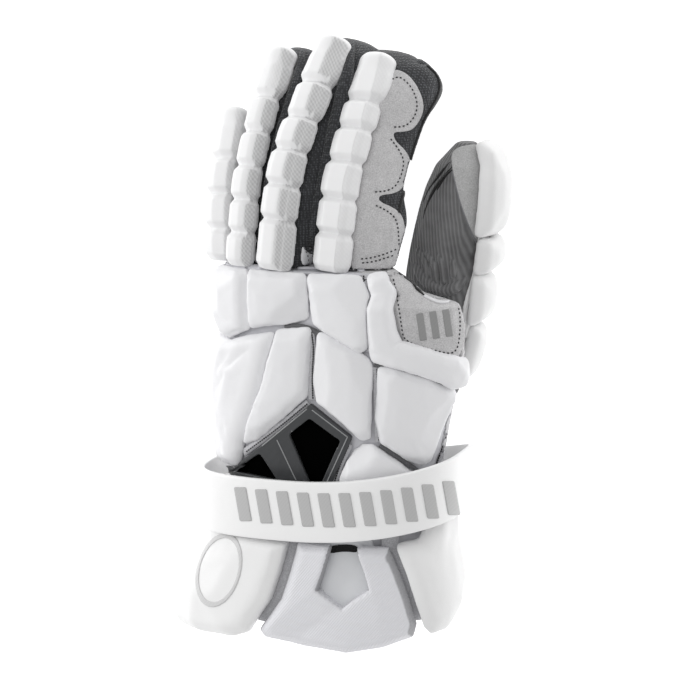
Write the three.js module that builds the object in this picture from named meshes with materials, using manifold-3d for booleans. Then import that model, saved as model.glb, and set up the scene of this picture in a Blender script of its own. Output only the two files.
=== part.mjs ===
import * as THREE from 'three';
import { mergeVertices } from 'three/addons/utils/BufferGeometryUtils.js';
import Module from 'manifold-3d';

// A padded lacrosse glove for the left hand, lying palm down. Millimetres.
// X runs across the hand to the thumb, Y from the cuff to the fingertips, Z up.

// Hand shell
const WRIST_EDGE = 24;
const HAND_LENGTH = 187.5;
const HAND_WIDTH = 134;
const HAND_HEIGHT = 71;
const SHELL_WALL = 2;
const SIDE_SEAM = 0.4;
const SURFACE_STEP = 0.1;
const SHELL_SIDES = 28;

// Pads and what they are sewn on
const PAD_SEAT = 0.4;
const PAD_SINK = 2;
const KNUCKLE_PAD_HEIGHT = 7.5;
const HAND_PAD_HEIGHT = 7;
const PAD_EDGE = 3;
const OUTLINE_STEP = 16;
const PATCH_HEIGHT = 1.8;
const FINGER_PAD_HEIGHT = 9.5;
const FINGER_PAD_EDGE = 2.4;
const FLEX_GAP = 1.6;
const BACKING_HEIGHT = 1.2;
const BACKING_SEAT = 0.6;
const BACKING_ENDS = [0.005, 0.94];

// Fingers
const FINGER_WALL = 1.6;
const FINGER_SIDES = 12;
const FINGER_RISE = 12.2;
const FINGER_DROP = 13;
const FINGER_DOME = 0.15;
const FINGER_SPAN = 1.05;
const ROOT_GAP = 0.4;
const FINGER_ROOT = 3.8;
const FINGER_LEAD = 10;
const GUSSET_WALL = 1.8;
const SLEEVE_GAP = 0.4;
const HOLLOW_SPAN = 0.975;

// Thumb
const THUMB_START = 140;
const THUMB_LENGTH = 140;
const THUMB_WIDTH = 39;
const THUMB_HEIGHT = 35;
const THUMB_WALL = 1.8;
const THUMB_SIDES = 12;
const THUMB_PAD_LIFT = 3.4;
const THUMB_PAD_HEIGHT = 9.5;

// Cuff
const CUFF_LENGTH = 94;
const CUFF_EDGE = 2;
const CUFF_WIDTH = 150;
const CUFF_HEIGHT = 71;
const FLAP_HEIGHT = 9;
const FLAP_EDGE = 5;
const FRAME_HEIGHT = 7.5;
const FRAME_EDGE = 4;
const INNER_PAD_DROP = 2.2;
const INNER_PAD_HEIGHT = 3.2;
const GUSSET_DROP = 0.9;
const CUFF_GUSSET_HEIGHT = 1.2;

// Vent
const VENT_HEIGHT = 3;
const THIN_EDGE = 1;

// Strap
const STRAP_WIDTH = 34;
const STRAP_THICKNESS = 3.4;
const STRAP_SPAN = 149;
const STRAP_RISE = 82;
const STRAP_PLACE = 83;
const STRAP_CENTRE = -9;
const STRAP_STEPS = 32;
const STRAP_PRESS = 1.5;
const STRAP_CLEARANCE = 0.3;

const COLOURS = {
  padWhite: { color: 0xeeeff2, roughness: 0.5, metalness: 0 },
  leather: { color: 0xdcdde0, roughness: 0.7, metalness: 0 },
  mesh: { color: 0x404245, roughness: 0.85, metalness: 0 },
  suede: { color: 0xb9b9bb, roughness: 0.95, metalness: 0 },
  ribbed: { color: 0x97979a, roughness: 0.9, metalness: 0 },
  moulded: { color: 0xd6d6da, roughness: 0.55, metalness: 0 },
  gunmetal: { color: 0x6f7173, roughness: 0.45, metalness: 0.2 },
};

// Sections of the hand shell. Lengths across are shares of HAND_WIDTH, heights of HAND_HEIGHT.
const HAND_SECTIONS = [
  { along: 0.000, crest: -0.075, left: -0.505, right: 0.350, low: 0.056, side: 0.465, top: 0.875 },
  { along: 0.085, crest: -0.075, left: -0.500, right: 0.350, low: 0.056, side: 0.465, top: 0.890 },
  { along: 0.272, crest: -0.082, left: -0.492, right: 0.355, low: 0.056, side: 0.480, top: 0.915 },
  { along: 0.432, crest: -0.097, left: -0.507, right: 0.390, low: 0.085, side: 0.507, top: 0.955 },
  { along: 0.619, crest: -0.127, left: -0.510, right: 0.448, low: 0.200, side: 0.560, top: 0.992 },
  { along: 0.725, crest: -0.150, left: -0.505, right: 0.500, low: 0.300, side: 0.605, top: 1.000 },
  { along: 0.821, crest: -0.164, left: -0.500, right: 0.512, low: 0.400, side: 0.650, top: 1.000 },
  { along: 0.885, crest: -0.179, left: -0.498, right: 0.515, low: 0.470, side: 0.690, top: 1.000 },
  { along: 0.925, crest: -0.186, left: -0.497, right: 0.500, low: 0.505, side: 0.700, top: 1.000 },
  { along: 0.950, crest: -0.188, left: -0.495, right: 0.350, low: 0.530, side: 0.710, top: 1.000 },
  { along: 1.000, crest: -0.194, left: -0.492, right: 0.262, low: 0.570, side: 0.730, top: 1.000 },
];
const HAND_ROUND = { topRound: 2.4, lowRound: 3 };

// Sections of the cuff's inner face. Lengths across are shares of CUFF_WIDTH, heights of CUFF_HEIGHT.
const CUFF_SECTIONS = [
  { along: 0.00, crest: -0.060, left: -0.602, right: 0.370, low: 0.100, side: 0.520, top: 0.990 },
  { along: 0.12, crest: -0.062, left: -0.600, right: 0.385, low: 0.100, side: 0.520, top: 0.990 },
  { along: 0.30, crest: -0.064, left: -0.560, right: 0.383, low: 0.080, side: 0.510, top: 0.985 },
  { along: 0.50, crest: -0.066, left: -0.500, right: 0.368, low: 0.070, side: 0.500, top: 0.975 },
  { along: 0.68, crest: -0.070, left: -0.456, right: 0.345, low: 0.060, side: 0.500, top: 0.965 },
  { along: 1.00, crest: -0.080, left: -0.450, right: 0.345, low: 0.060, side: 0.500, top: 0.965 },
];
const CUFF_ROUND = { topRound: 2.4, lowRound: 3 };

// Sections of the thumb. Lengths across are shares of THUMB_WIDTH, heights of THUMB_HEIGHT.
const THUMB_SECTIONS = [
  { along: 0.00, centre: 1.02, height: 0.86, wide: 0.80, tall: 0.80 },
  { along: 0.15, centre: 1.10, height: 0.66, wide: 0.90, tall: 0.88 },
  { along: 0.30, centre: 1.17, height: 0.545, wide: 1.00, tall: 0.98 },
  { along: 0.50, centre: 1.23, height: 0.508, wide: 1.04, tall: 1.00 },
  { along: 0.66, centre: 1.32, height: 0.508, wide: 1.00, tall: 1.00 },
  { along: 0.80, centre: 1.40, height: 0.50, wide: 0.90, tall: 0.96 },
  { along: 0.90, centre: 1.46, height: 0.47, wide: 0.74, tall: 0.86 },
  { along: 0.96, centre: 1.50, height: 0.43, wide: 0.54, tall: 0.66 },
  { along: 1.00, centre: 1.52, height: 0.40, wide: 0.26, tall: 0.34 },
];
const THUMB_ROUND = { topRound: 2.5, lowRound: 2.5 };

// Fingers. Root place and half widths in millimetres, lean and curl in degrees at root and tip,
// tipRight the half width on the thumb's side at the tip, where the fabric is fuller,
// roll is how far the row of pads sits to the thumb's side, edges part the pads along the finger.
const FINGERS = [
  {
    name: 'index', rootX: 2, rootZ: 50.5, lean: [5.5, 2], curl: [3.5, 42.6], length: 111,
    roll: 4, left: 11.2, right: 26.5, tipRight: 33, padWidth: 23.5, crease: 0.1,
    edges: [0, 0.152, 0.305, 0.469, 0.62, 0.75, 1],
  },
  {
    name: 'middle', rootX: -26.8, rootZ: 57, lean: [4.1, 8], curl: [2.5, 46.7], length: 121,
    roll: -2, left: 10, right: 14, tipRight: 20, padWidth: 23.5, crease: -0.05,
    edges: [0.005, 0.188, 0.33, 0.474, 0.61, 0.765, 1],
  },
  {
    name: 'ring', rootX: -45.8, rootZ: 52.2, lean: [0.8, 4.3], curl: [4, 43.4], length: 112.5,
    roll: -10, left: 9.4, right: 10, tipRight: 15, padWidth: 20, crease: -0.05,
    edges: [0, 0.131, 0.273, 0.422, 0.577, 0.737, 1],
  },
  {
    name: 'little', rootX: -61.6, rootZ: 41.5, lean: [-2.7, -7], curl: [5, 50.3], length: 76.5,
    roll: -18, left: 9.6, right: 9.6, tipRight: 10.5, padWidth: 17.5, crease: 0,
    edges: [0, 0.175, 0.385, 0.61, 1],
  },
];
// How a finger widens from its root, as a share of its own half width.
const FINGER_GIRTH = [
  { along: 0.00, wide: 0.80, full: 0.0 },
  { along: 0.25, wide: 0.95, full: 0.0 },
  { along: 0.50, wide: 1.00, full: 0.1 },
  { along: 0.80, wide: 1.00, full: 0.7 },
  { along: 1.00, wide: 1.00, full: 1.0 },
];
const FINGER_ROUND = { topRound: 2.3, lowRound: 2.3 };
// Section of a finger pad: across as a share of its width, up as a share of its height.
const FINGER_PAD_SECTION = [
  { across: 0.50, up: -0.12 },
  { across: 0.50, up: 0.34 },
  { across: 0.38, up: 0.72 },
  { across: 0.00, up: 1.00 },
  { across: -0.32, up: 0.88 },
  { across: -0.50, up: 0.42 },
  { across: -0.50, up: -0.12 },
  { across: -0.41, up: 0.00 },
  { across: 0.41, up: 0.00 },
];

// Pad outlines on the hand. Around is degrees from the crest, along a share of HAND_LENGTH.
const KNUCKLE_PADS = [
  {
    name: 'knuckle_pad_1', hub: [-66, 0.91],
    outline: [[-25, 1.0], [-26, 0.84], [-48, 0.805], [-96, 0.83], [-104, 0.9], [-96, 0.985], [-60, 1.0]],
  },
  {
    name: 'knuckle_pad_2', hub: [-7, 0.92],
    outline: [[-22, 1.0], [9.5, 1.0], [9, 0.985], [5.5, 0.872], [2, 0.868], [-23, 0.845]],
  },
  {
    name: 'knuckle_pad_3', hub: [20, 0.88],
    outline: [
      [11.5, 1.0], [41.5, 1.0], [38, 0.955], [26, 0.925], [25, 0.808], [22, 0.795], [9.5, 0.855],
      [7.5, 0.87], [11, 0.98],
    ],
  },
];
// Pieces that follow the steep web beside the thumb: their two sides at each share of HAND_LENGTH
const KNUCKLE_PAD_4 = [
  { along: 0.700, from: 71, to: 77 }, { along: 0.715, from: 64, to: 83 },
  { along: 0.740, from: 49, to: 84 }, { along: 0.762, from: 34, to: 83 },
  { along: 0.773, from: 28, to: 73 }, { along: 0.800, from: 27, to: 52 },
  { along: 0.820, from: 27, to: 39.5 }, { along: 0.860, from: 27, to: 37 },
  { along: 0.920, from: 28, to: 36.5 }, { along: 0.950, from: 41, to: 54 },
  { along: 0.980, from: 45, to: 58 }, { along: 1.000, from: 48, to: 61 },
];
const WEB_PATCH = [
  { along: 0.780, from: 70, to: 77 }, { along: 0.800, from: 54, to: 81 },
  { along: 0.820, from: 42, to: 84 }, { along: 0.860, from: 39.5, to: 85 },
  { along: 0.920, from: 39, to: 86 }, { along: 0.950, from: 58, to: 86 },
  { along: 0.980, from: 62, to: 82 }, { along: 1.000, from: 66, to: 78 },
];
const HAND_PADS = [
  {
    name: 'hand_pad_1', hub: [-60, 0.62],
    outline: [
      [-7, 0.832], [-46, 0.79], [-98, 0.8], [-106, 0.7], [-104, 0.52], [-98, 0.4], [-68, 0.4],
      [-47, 0.41], [-41, 0.48], [-20, 0.66],
    ],
  },
  {
    name: 'hand_pad_2', hub: [-5, 0.7],
    outline: [
      [-4, 0.838], [5.5, 0.85], [6, 0.835], [4, 0.7], [3.5, 0.66], [-8, 0.582], [-26, 0.508], [-37, 0.488],
      [-17, 0.665],
    ],
  },
  {
    name: 'hand_pad_3', hub: [15, 0.69],
    outline: [
      [8.5, 0.838], [11, 0.835], [25, 0.772], [26.5, 0.75], [27.5, 0.54], [24, 0.535], [6.5, 0.64],
      [6, 0.7],
    ],
  },
  {
    name: 'hand_pad_4', hub: [48, 0.6],
    outline: [
      [30, 0.748], [36, 0.745], [72, 0.686], [79, 0.675], [77, 0.65], [68, 0.47], [60, 0.445],
      [34, 0.53], [31, 0.6],
    ],
  },
  {
    name: 'hand_pad_5', hub: [32, 0.45],
    outline: [[22, 0.52], [29, 0.515], [56, 0.425], [56, 0.392], [15, 0.392], [13.5, 0.41]],
  },
];
const VENT = {
  name: 'vent_frame', hub: [-8, 0.5],
  outline: [[4.5, 0.628], [19, 0.538], [9, 0.4], [-45, 0.4], [-24, 0.48]],
};
const VENT_WINDOWS = [
  { hub: [5, 0.52], outline: [[4, 0.592], [14, 0.538], [5, 0.415], [-4, 0.54]] },
  { hub: [-25, 0.44], outline: [[-20, 0.465], [-16.5, 0.45], [-16, 0.415], [-40, 0.412], [-26, 0.458]] },
];

// Cuff outlines. Around is degrees from the crest, along a share of CUFF_LENGTH.
const FLAP_LEFT = {
  name: 'flap_left', hub: [-55, 0.36],
  outline: [
    [-7.5, 0.64], [-13, 0.30], [-17, 0.19], [-21, 0.09], [-30, 0.04], [-75, 0.0], [-92, 0.03], [-104, 0.14],
    [-106, 0.9], [-60, 0.92], [-42, 0.66],
  ],
};
const FLAP_RIGHT = {
  name: 'flap_right', hub: [70, 0.45],
  outline: [
    [42, 0.66], [50.5, 0.34], [56.5, 0.19], [63, 0.14], [74, 0.15], [90, 0.24], [101, 0.40], [101, 0.9],
    [78, 0.92], [58, 0.68],
  ],
};
const CUFF_FRAME = {
  name: 'cuff_frame', hub: [16, 0.3],
  outline: [
    [-4.5, 0.64], [-10, 0.29], [-18, 0.09], [-16, 0.05], [-3, 0.02], [13, 0], [32, 0.05], [49, 0.115],
    [51.5, 0.19], [47, 0.34], [38, 0.64], [15, 0.65],
  ],
};
const FRAME_WINDOW = {
  hub: [14, 0.44],
  outline: [[8.5, 0.68], [20, 0.68], [25.5, 0.395], [11.5, 0.26], [1.5, 0.37]],
};
const CUFF_INNER_PAD = {
  name: 'cuff_inner_pad', hub: [14, 0.5],
  outline: [[4, 0.8], [26, 0.8], [34, 0.4], [13, 0.19], [-5, 0.36]],
};
const CUFF_GUSSETS = [
  {
    name: 'cuff_gusset_left', hub: [-15, 0.35],
    outline: [[-13, 0.8], [-13, 0.6], [-19, 0.3], [-25, 0.14], [-14, 0.12], [-6, 0.3], [-1, 0.6], [-1, 0.8]],
  },
  {
    name: 'cuff_gusset_right', hub: [46, 0.42],
    outline: [[34, 0.8], [34, 0.6], [44, 0.34], [51, 0.2], [66, 0.2], [57, 0.36], [46, 0.62], [46, 0.8]],
  },
];

// Suede on the index finger: its straight and its scalloped edge, in degrees from the crest.
const OVERLAY_HEIGHT = 1.2;
const OVERLAY_EDGES = [
  { along: 0.01, from: 42, to: 100 }, { along: 0.10, from: 40, to: 101 },
  { along: 0.20, from: 37, to: 100 }, { along: 0.28, from: 34, to: 92 },
  { along: 0.33, from: 33, to: 45 }, { along: 0.35, from: 32, to: 43 },
  { along: 0.39, from: 32, to: 76 }, { along: 0.46, from: 32, to: 81 },
  { along: 0.54, from: 32, to: 77 }, { along: 0.60, from: 31, to: 50 },
  { along: 0.645, from: 31, to: 41 }, { along: 0.68, from: 31, to: 62 },
  { along: 0.76, from: 31, to: 69 }, { along: 0.83, from: 30, to: 60 },
  { along: 0.90, from: 29, to: 44 }, { along: 0.93, from: 28, to: 36 },
];

// Thumb pads, in shares of THUMB_LENGTH along and degrees from the crest of the section.
const THUMB_PADS = [
  { name: 'thumb_pad_1', along: [0.655, 0.98], around: [52, 132] },
  { name: 'thumb_pad_2', along: [0.51, 0.645], around: [58, 130] },
  { name: 'thumb_pad_3', along: [0.305, 0.50], around: [60, 128] },
  { name: 'thumb_pad_4', along: [0.15, 0.295], around: [74, 124] },
];
const THUMB_BACKING = { name: 'thumb_backing', along: [0.25, 0.95], around: [66, 120] };

const wasm = await Module();
wasm.setup();
const rad = THREE.MathUtils.degToRad;
const glove = new THREE.Group();

// Smooth value of a named column of a table at a share along it
function column(rows, key, share) {
  const last = rows.length - 1;
  let i = 0;
  while (i < last - 1 && share > rows[i + 1].along) i += 1;
  const slope = (k) => {
    if (k < 0 || k >= last) return null;
    return (rows[k + 1][key] - rows[k][key]) / (rows[k + 1].along - rows[k].along);
  };
  const tangent = (k) => {
    const before = slope(k - 1);
    const after = slope(k);
    if (before === null) return after;
    if (after === null) return before;
    return before * after <= 0 ? 0 : (2 * before * after) / (before + after);
  };
  const step = rows[i + 1].along - rows[i].along;
  const t = (share - rows[i].along) / step;
  if (t < 0) return rows[i][key] + slope(i) * (share - rows[i].along);
  if (t > 1) return rows[i + 1][key] + slope(i) * (share - rows[i + 1].along);
  const t2 = t * t;
  const t3 = t2 * t;
  return (2 * t3 - 3 * t2 + 1) * rows[i][key] + (t3 - 2 * t2 + t) * step * tangent(i)
    + (-2 * t3 + 3 * t2) * rows[i + 1][key] + (t3 - t2) * step * tangent(i + 1);
}

// Point of a section, a rounded outline with its own width each side and height up and down
function sectionPoint(section, around) {
  const s = Math.sin(around);
  const c = Math.cos(around);
  const power = 2 / (c >= 0 ? section.topRound : section.lowRound);
  const across = (s > 0 ? section.right : section.left) * Math.sign(s) * Math.abs(s) ** power;
  const up = (c >= 0 ? section.rise : section.drop) * Math.sign(c) * Math.abs(c) ** power;
  return section.centre.clone().addScaledVector(section.side, across).addScaledVector(section.up, up);
}

// Point at a height over a swept surface
function surfacePoint(sectionAt, around, along, height) {
  const base = sectionPoint(sectionAt(along), around);
  if (height === 0) return base;
  const turn = 0.01;
  const shift = 0.002;
  const acrossStep = sectionPoint(sectionAt(along), around + turn)
    .sub(sectionPoint(sectionAt(along), around - turn));
  const alongStep = sectionPoint(sectionAt(along + shift), around)
    .sub(sectionPoint(sectionAt(along - shift), around));
  const normal = alongStep.cross(acrossStep).normalize();
  const section = sectionAt(along);
  const outward = base.clone().sub(section.centre);
  if (normal.dot(outward) < 0) normal.negate();
  return base.addScaledVector(normal, height);
}

function sweptSection(rows, size, round) {
  return (along) => {
    const crest = column(rows, 'crest', along) * size.width;
    const side = column(rows, 'side', along) * size.height;
    return {
      centre: new THREE.Vector3(crest, size.start + along * size.length, side),
      side: new THREE.Vector3(1, 0, 0),
      up: new THREE.Vector3(0, 0, 1),
      left: crest - column(rows, 'left', along) * size.width,
      right: column(rows, 'right', along) * size.width - crest,
      rise: column(rows, 'top', along) * size.height - side,
      drop: side - column(rows, 'low', along) * size.height,
      ...round,
    };
  };
}
const handSize = { width: HAND_WIDTH, height: HAND_HEIGHT, start: WRIST_EDGE, length: HAND_LENGTH };
const handSection = sweptSection(HAND_SECTIONS, handSize, HAND_ROUND);
const cuffSize = { width: CUFF_WIDTH, height: CUFF_HEIGHT, start: CUFF_EDGE, length: CUFF_LENGTH };
const cuffSection = sweptSection(CUFF_SECTIONS, cuffSize, CUFF_ROUND);

function thumbSection(inset) {
  return (along) => {
    const halfWidth = column(THUMB_SECTIONS, 'wide', along) * THUMB_WIDTH / 2 - inset;
    const halfHeight = column(THUMB_SECTIONS, 'tall', along) * THUMB_HEIGHT / 2 - inset;
    return {
      centre: new THREE.Vector3(
        column(THUMB_SECTIONS, 'centre', along) * THUMB_WIDTH,
        THUMB_START + along * THUMB_LENGTH,
        column(THUMB_SECTIONS, 'height', along) * THUMB_HEIGHT),
      side: new THREE.Vector3(1, 0, 0),
      up: new THREE.Vector3(0, 0, 1),
      left: halfWidth,
      right: halfWidth,
      rise: halfHeight,
      drop: halfHeight,
      ...THUMB_ROUND,
    };
  };
}

// Centre line of a finger, bending evenly from root to tip, with its side and up directions
function fingerFrame(finger, along) {
  const root = new THREE.Vector3(finger.rootX, WRIST_EDGE + HAND_LENGTH + FINGER_ROOT, finger.rootZ);
  const steps = 24;
  const turn = (pair, share) => rad(pair[0] + (pair[1] - pair[0]) * Math.min(share, 1));
  const heading = (share) => {
    const lean = turn(finger.lean, share);
    const curl = turn(finger.curl, share);
    return new THREE.Vector3(
      Math.sin(lean) * Math.cos(curl), Math.cos(lean) * Math.cos(curl), -Math.sin(curl));
  };
  const centre = root.clone();
  for (let i = 0; i < steps; i += 1) {
    centre.addScaledVector(heading((i + 0.5) * along / steps), along * finger.length / steps);
  }
  const lean = turn(finger.lean, along);
  const ahead = heading(along);
  const side = new THREE.Vector3(Math.cos(lean), -Math.sin(lean), 0);
  const up = side.clone().cross(ahead);
  return { centre, side, up };
}

function fingerSection(finger, inset) {
  return (along) => {
    const dome = Math.max(0, (along - (FINGER_SPAN - FINGER_DOME)) / FINGER_DOME);
    const taper = Math.sqrt(Math.max(0.1, 1 - (0.93 * dome) ** 2));
    const girth = column(FINGER_GIRTH, 'wide', along) * taper;
    const full = column(FINGER_GIRTH, 'full', along) * (finger.tipRight - finger.right) * taper;
    return {
      ...fingerFrame(finger, along),
      left: finger.left * girth - inset,
      right: finger.right * girth + full - inset,
      rise: FINGER_RISE * taper - inset,
      drop: FINGER_DROP * taper - inset,
      ...FINGER_ROUND,
    };
  };
}

// A closed mesh from points and triangles, turned so that its faces point out
function solid(points, faces) {
  const flat = new Float32Array(points.length * 3);
  points.forEach((point, i) => point.toArray(flat, i * 3));
  const geometry = new THREE.BufferGeometry();
  geometry.setAttribute('position', new THREE.BufferAttribute(flat, 3));
  let volume = 0;
  faces.forEach(([a, b, c]) => {
    volume += points[a].dot(points[b].clone().cross(points[c]));
  });
  geometry.setIndex((volume < 0 ? faces.map(([a, b, c]) => [a, c, b]) : faces).flat());
  return geometry;
}

function quads(faces, rowA, rowB, closed) {
  const count = rowA.length;
  for (let i = 0; i < (closed ? count : count - 1); i += 1) {
    const j = (i + 1) % count;
    faces.push([rowA[i], rowA[j], rowB[j]], [rowA[i], rowB[j], rowB[i]]);
  }
}

function fan(faces, row, hub) {
  row.forEach((a, i) => faces.push([a, row[(i + 1) % row.length], hub]));
}

function pointRows() {
  const points = [];
  const add = (list) => list.map((point) => points.push(point) - 1);
  return { points, add };
}

// Solid between rings of equal count, with a point or a flat end at each end
function loft(rings, startPoint, endPoint) {
  const { points, add } = pointRows();
  const faces = [];
  const rows = rings.map(add);
  rows.slice(1).forEach((row, i) => quads(faces, rows[i], row, true));
  fan(faces, rows[0].slice().reverse(), add([startPoint])[0]);
  fan(faces, rows[rows.length - 1], add([endPoint])[0]);
  return solid(points, faces);
}

function ringOf(sectionAt, along, height, count) {
  return Array.from({ length: count }, (_, i) => (
    surfacePoint(sectionAt, (i / count) * 2 * Math.PI, along, height)));
}

function middleOf(points) {
  const sum = new THREE.Vector3();
  points.forEach((point) => sum.add(point));
  return sum.divideScalar(points.length);
}

function sweptLoft(sectionAt, stations, height, count) {
  const rings = stations.map((along) => ringOf(sectionAt, along, height, count));
  return loft(rings, middleOf(rings[0]), middleOf(rings[rings.length - 1]));
}

// Sheet of a height over part of a surface, its limits around given at each station.
// Its edge is as high as softness gives, a share of the height.
function sheet(sectionAt, stations, limits, low, high, count, softness = 1) {
  const { points, add } = pointRows();
  const faces = [];
  const last = stations.length - 1;
  const rowAt = (along, k, height, soft) => {
    const [from, to] = limits(along);
    return add(Array.from({ length: count + 1 }, (_, i) => {
      const atEdge = i === 0 || i === count || k === 0 || k === last;
      return surfacePoint(
        sectionAt, rad(from + (to - from) * i / count), along, atEdge ? height * soft : height);
    }));
  };
  const top = stations.map((along, k) => rowAt(along, k, high, softness));
  const under = stations.map((along, k) => rowAt(along, k, low, 1));
  for (let i = 0; i < last; i += 1) {
    quads(faces, top[i], top[i + 1], false);
    quads(faces, under[i + 1], under[i], false);
    quads(faces, [top[i][0], top[i + 1][0]], [under[i][0], under[i + 1][0]], false);
    quads(faces, [under[i][count], under[i + 1][count]], [top[i][count], top[i + 1][count]], false);
  }
  quads(faces, under[0], top[0], false);
  quads(faces, top[last], under[last], false);
  return solid(points, faces);
}

// Padded piece over a surface: an outline drawn in to its hub, with a chamfered, crowned top
function padOver(sectionAt, pad, seat, height, edge) {
  const { points, add } = pointRows();
  const faces = [];
  const outline = pad.outline.flatMap((corner, i) => {
    const next = pad.outline[(i + 1) % pad.outline.length];
    const gap = surfacePoint(sectionAt, rad(corner[0]), corner[1], 0)
      .distanceTo(surfacePoint(sectionAt, rad(next[0]), next[1], 0));
    const parts = Math.max(1, Math.round(gap / OUTLINE_STEP));
    return Array.from({ length: parts }, (_, k) => (
      [corner[0] + (next[0] - corner[0]) * k / parts, corner[1] + (next[1] - corner[1]) * k / parts]));
  });
  const reach = Math.min(...outline.map((corner) => (
    surfacePoint(sectionAt, rad(corner[0]), corner[1], 0)
      .distanceTo(surfacePoint(sectionAt, rad(pad.hub[0]), pad.hub[1], 0)))));
  const ring = (share, level) => add(outline.map(([around, along]) => surfacePoint(
    sectionAt, rad(pad.hub[0] + (around - pad.hub[0]) * share),
    pad.hub[1] + (along - pad.hub[1]) * share, level)));
  const chamfer = Math.min(0.45, edge / reach);
  const rows = [
    ring(0.5, seat), ring(1, seat), ring(1, seat + height * 0.55), ring(1 - chamfer, seat + height * 0.93),
    ring(0.45 * (1 - chamfer), seat + height),
  ];
  rows.slice(1).forEach((row, i) => quads(faces, rows[i], row, true));
  const hubAt = (level) => add([surfacePoint(sectionAt, rad(pad.hub[0]), pad.hub[1], level)])[0];
  fan(faces, rows[0].slice().reverse(), hubAt(seat));
  fan(faces, rows[rows.length - 1], hubAt(seat + height));
  return solid(points, faces);
}

// Plain prism through a surface, used to cut a window
function prismOver(sectionAt, pad, low, high) {
  const ring = (level) => pad.outline.map(([around, along]) => (
    surfacePoint(sectionAt, rad(around), along, level)));
  const hub = (level) => surfacePoint(sectionAt, rad(pad.hub[0]), pad.hub[1], level);
  return loft([ring(low), ring(high)], hub(low), hub(high));
}

function toManifold(geometry) {
  const merged = geometry.clone();
  merged.deleteAttribute('normal');
  merged.deleteAttribute('uv');
  const closed = mergeVertices(merged);
  return new wasm.Manifold(new wasm.Mesh({
    numProp: 3,
    vertProperties: new Float32Array(closed.attributes.position.array),
    triVerts: new Uint32Array(closed.index.array),
  }));
}

function fromManifold(body) {
  const mesh = body.getMesh();
  const geometry = new THREE.BufferGeometry();
  geometry.setAttribute('position', new THREE.BufferAttribute(mesh.vertProperties, 3));
  geometry.setIndex(new THREE.BufferAttribute(mesh.triVerts, 1));
  return geometry;
}

function cut(geometry, tools) {
  return fromManifold(tools.reduce((body, tool) => body.subtract(toManifold(tool)), toManifold(geometry)));
}

function piece(name, geometry, colour) {
  geometry.computeVertexNormals();
  const mesh = new THREE.Mesh(geometry, new THREE.MeshStandardMaterial(COLOURS[colour]));
  mesh.name = name;
  glove.add(mesh);
}

function spread(from, to, steps) {
  return Array.from({ length: steps + 1 }, (_, i) => from + (to - from) * i / steps);
}

// Hand shell: back and palm, parted along the side seams, with the thumb's way through
const handStations = HAND_SECTIONS.slice(1).flatMap((row, i) => {
  const from = HAND_SECTIONS[i].along;
  const parts = Math.ceil((row.along - from) / SURFACE_STEP - 0.05);
  return spread(from, row.along, parts).slice(1);
});
handStations.unshift(0);
const seamTurn = THREE.MathUtils.radToDeg(SIDE_SEAM / HAND_WIDTH);
const thumbStations = spread(0, 1, 12);
const thumbOuter = sweptLoft(thumbSection(0), thumbStations, 0, THUMB_SIDES);
const thumbHollow = sweptLoft(thumbSection(THUMB_WALL), spread(0, 0.985, 11), 0, THUMB_SIDES);
const handSolid = sweptLoft(handSection, [-0.15, -0.07, ...handStations, 1.03], PAD_SEAT, SHELL_SIDES);

piece('back_shell', cut(
  sheet(handSection, handStations, () => [seamTurn - 90, 90 - seamTurn], -SHELL_WALL, 0, SHELL_SIDES / 2),
  [thumbHollow]), 'mesh');
piece('palm', cut(
  sheet(handSection, handStations, () => [90 + seamTurn, 270 - seamTurn], -SHELL_WALL, 0, SHELL_SIDES / 2),
  [thumbHollow]), 'leather');
piece('thumb_sleeve', cut(thumbOuter, [thumbHollow, handSolid]), 'ribbed');

// Wall between the finger roots
const gussetStart = 1 + ROOT_GAP / HAND_LENGTH;
const gussetEnd = gussetStart + GUSSET_WALL / HAND_LENGTH;
const fingerHollows = FINGERS.map((finger) => (
  sweptLoft(fingerSection(finger, FINGER_WALL), [-0.06, 0, 0.06], 0, FINGER_SIDES)));
piece('knuckle_gusset', cut(
  sweptLoft(handSection, [gussetStart, gussetEnd], 0, SHELL_SIDES), fingerHollows), 'mesh');

// Fingers: sleeve, backing strip and pads
const rootBlock = new THREE.BoxGeometry(2 * HAND_WIDTH, 2 * FINGER_LEAD, 3 * HAND_HEIGHT);
rootBlock.translate(0, WRIST_EDGE + gussetEnd * HAND_LENGTH + ROOT_GAP - FINGER_LEAD, HAND_HEIGHT / 2);
const sleeveStations = [-0.04, 0.17, 0.34, 0.5, 0.66, 0.8, 0.9, 0.965, 1].map((k) => k * FINGER_SPAN);

function padSide(finger, along) {
  const { centre, side, up } = fingerFrame(finger, along);
  const roll = rad(finger.roll);
  const q = FINGER_ROUND.topRound / (FINGER_ROUND.topRound - 1);
  const halfWidth = finger.roll > 0 ? finger.right * 0.5 : finger.left;
  const reach = ((halfWidth * Math.abs(Math.sin(roll))) ** q
    + (FINGER_RISE * Math.cos(roll)) ** q) ** (1 / q);
  const across = side.clone().multiplyScalar(Math.cos(roll)).addScaledVector(up, -Math.sin(roll));
  const outward = up.clone().multiplyScalar(Math.cos(roll)).addScaledVector(side, Math.sin(roll));
  return { base: centre.addScaledVector(outward, reach + BACKING_SEAT), across, outward };
}

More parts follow.
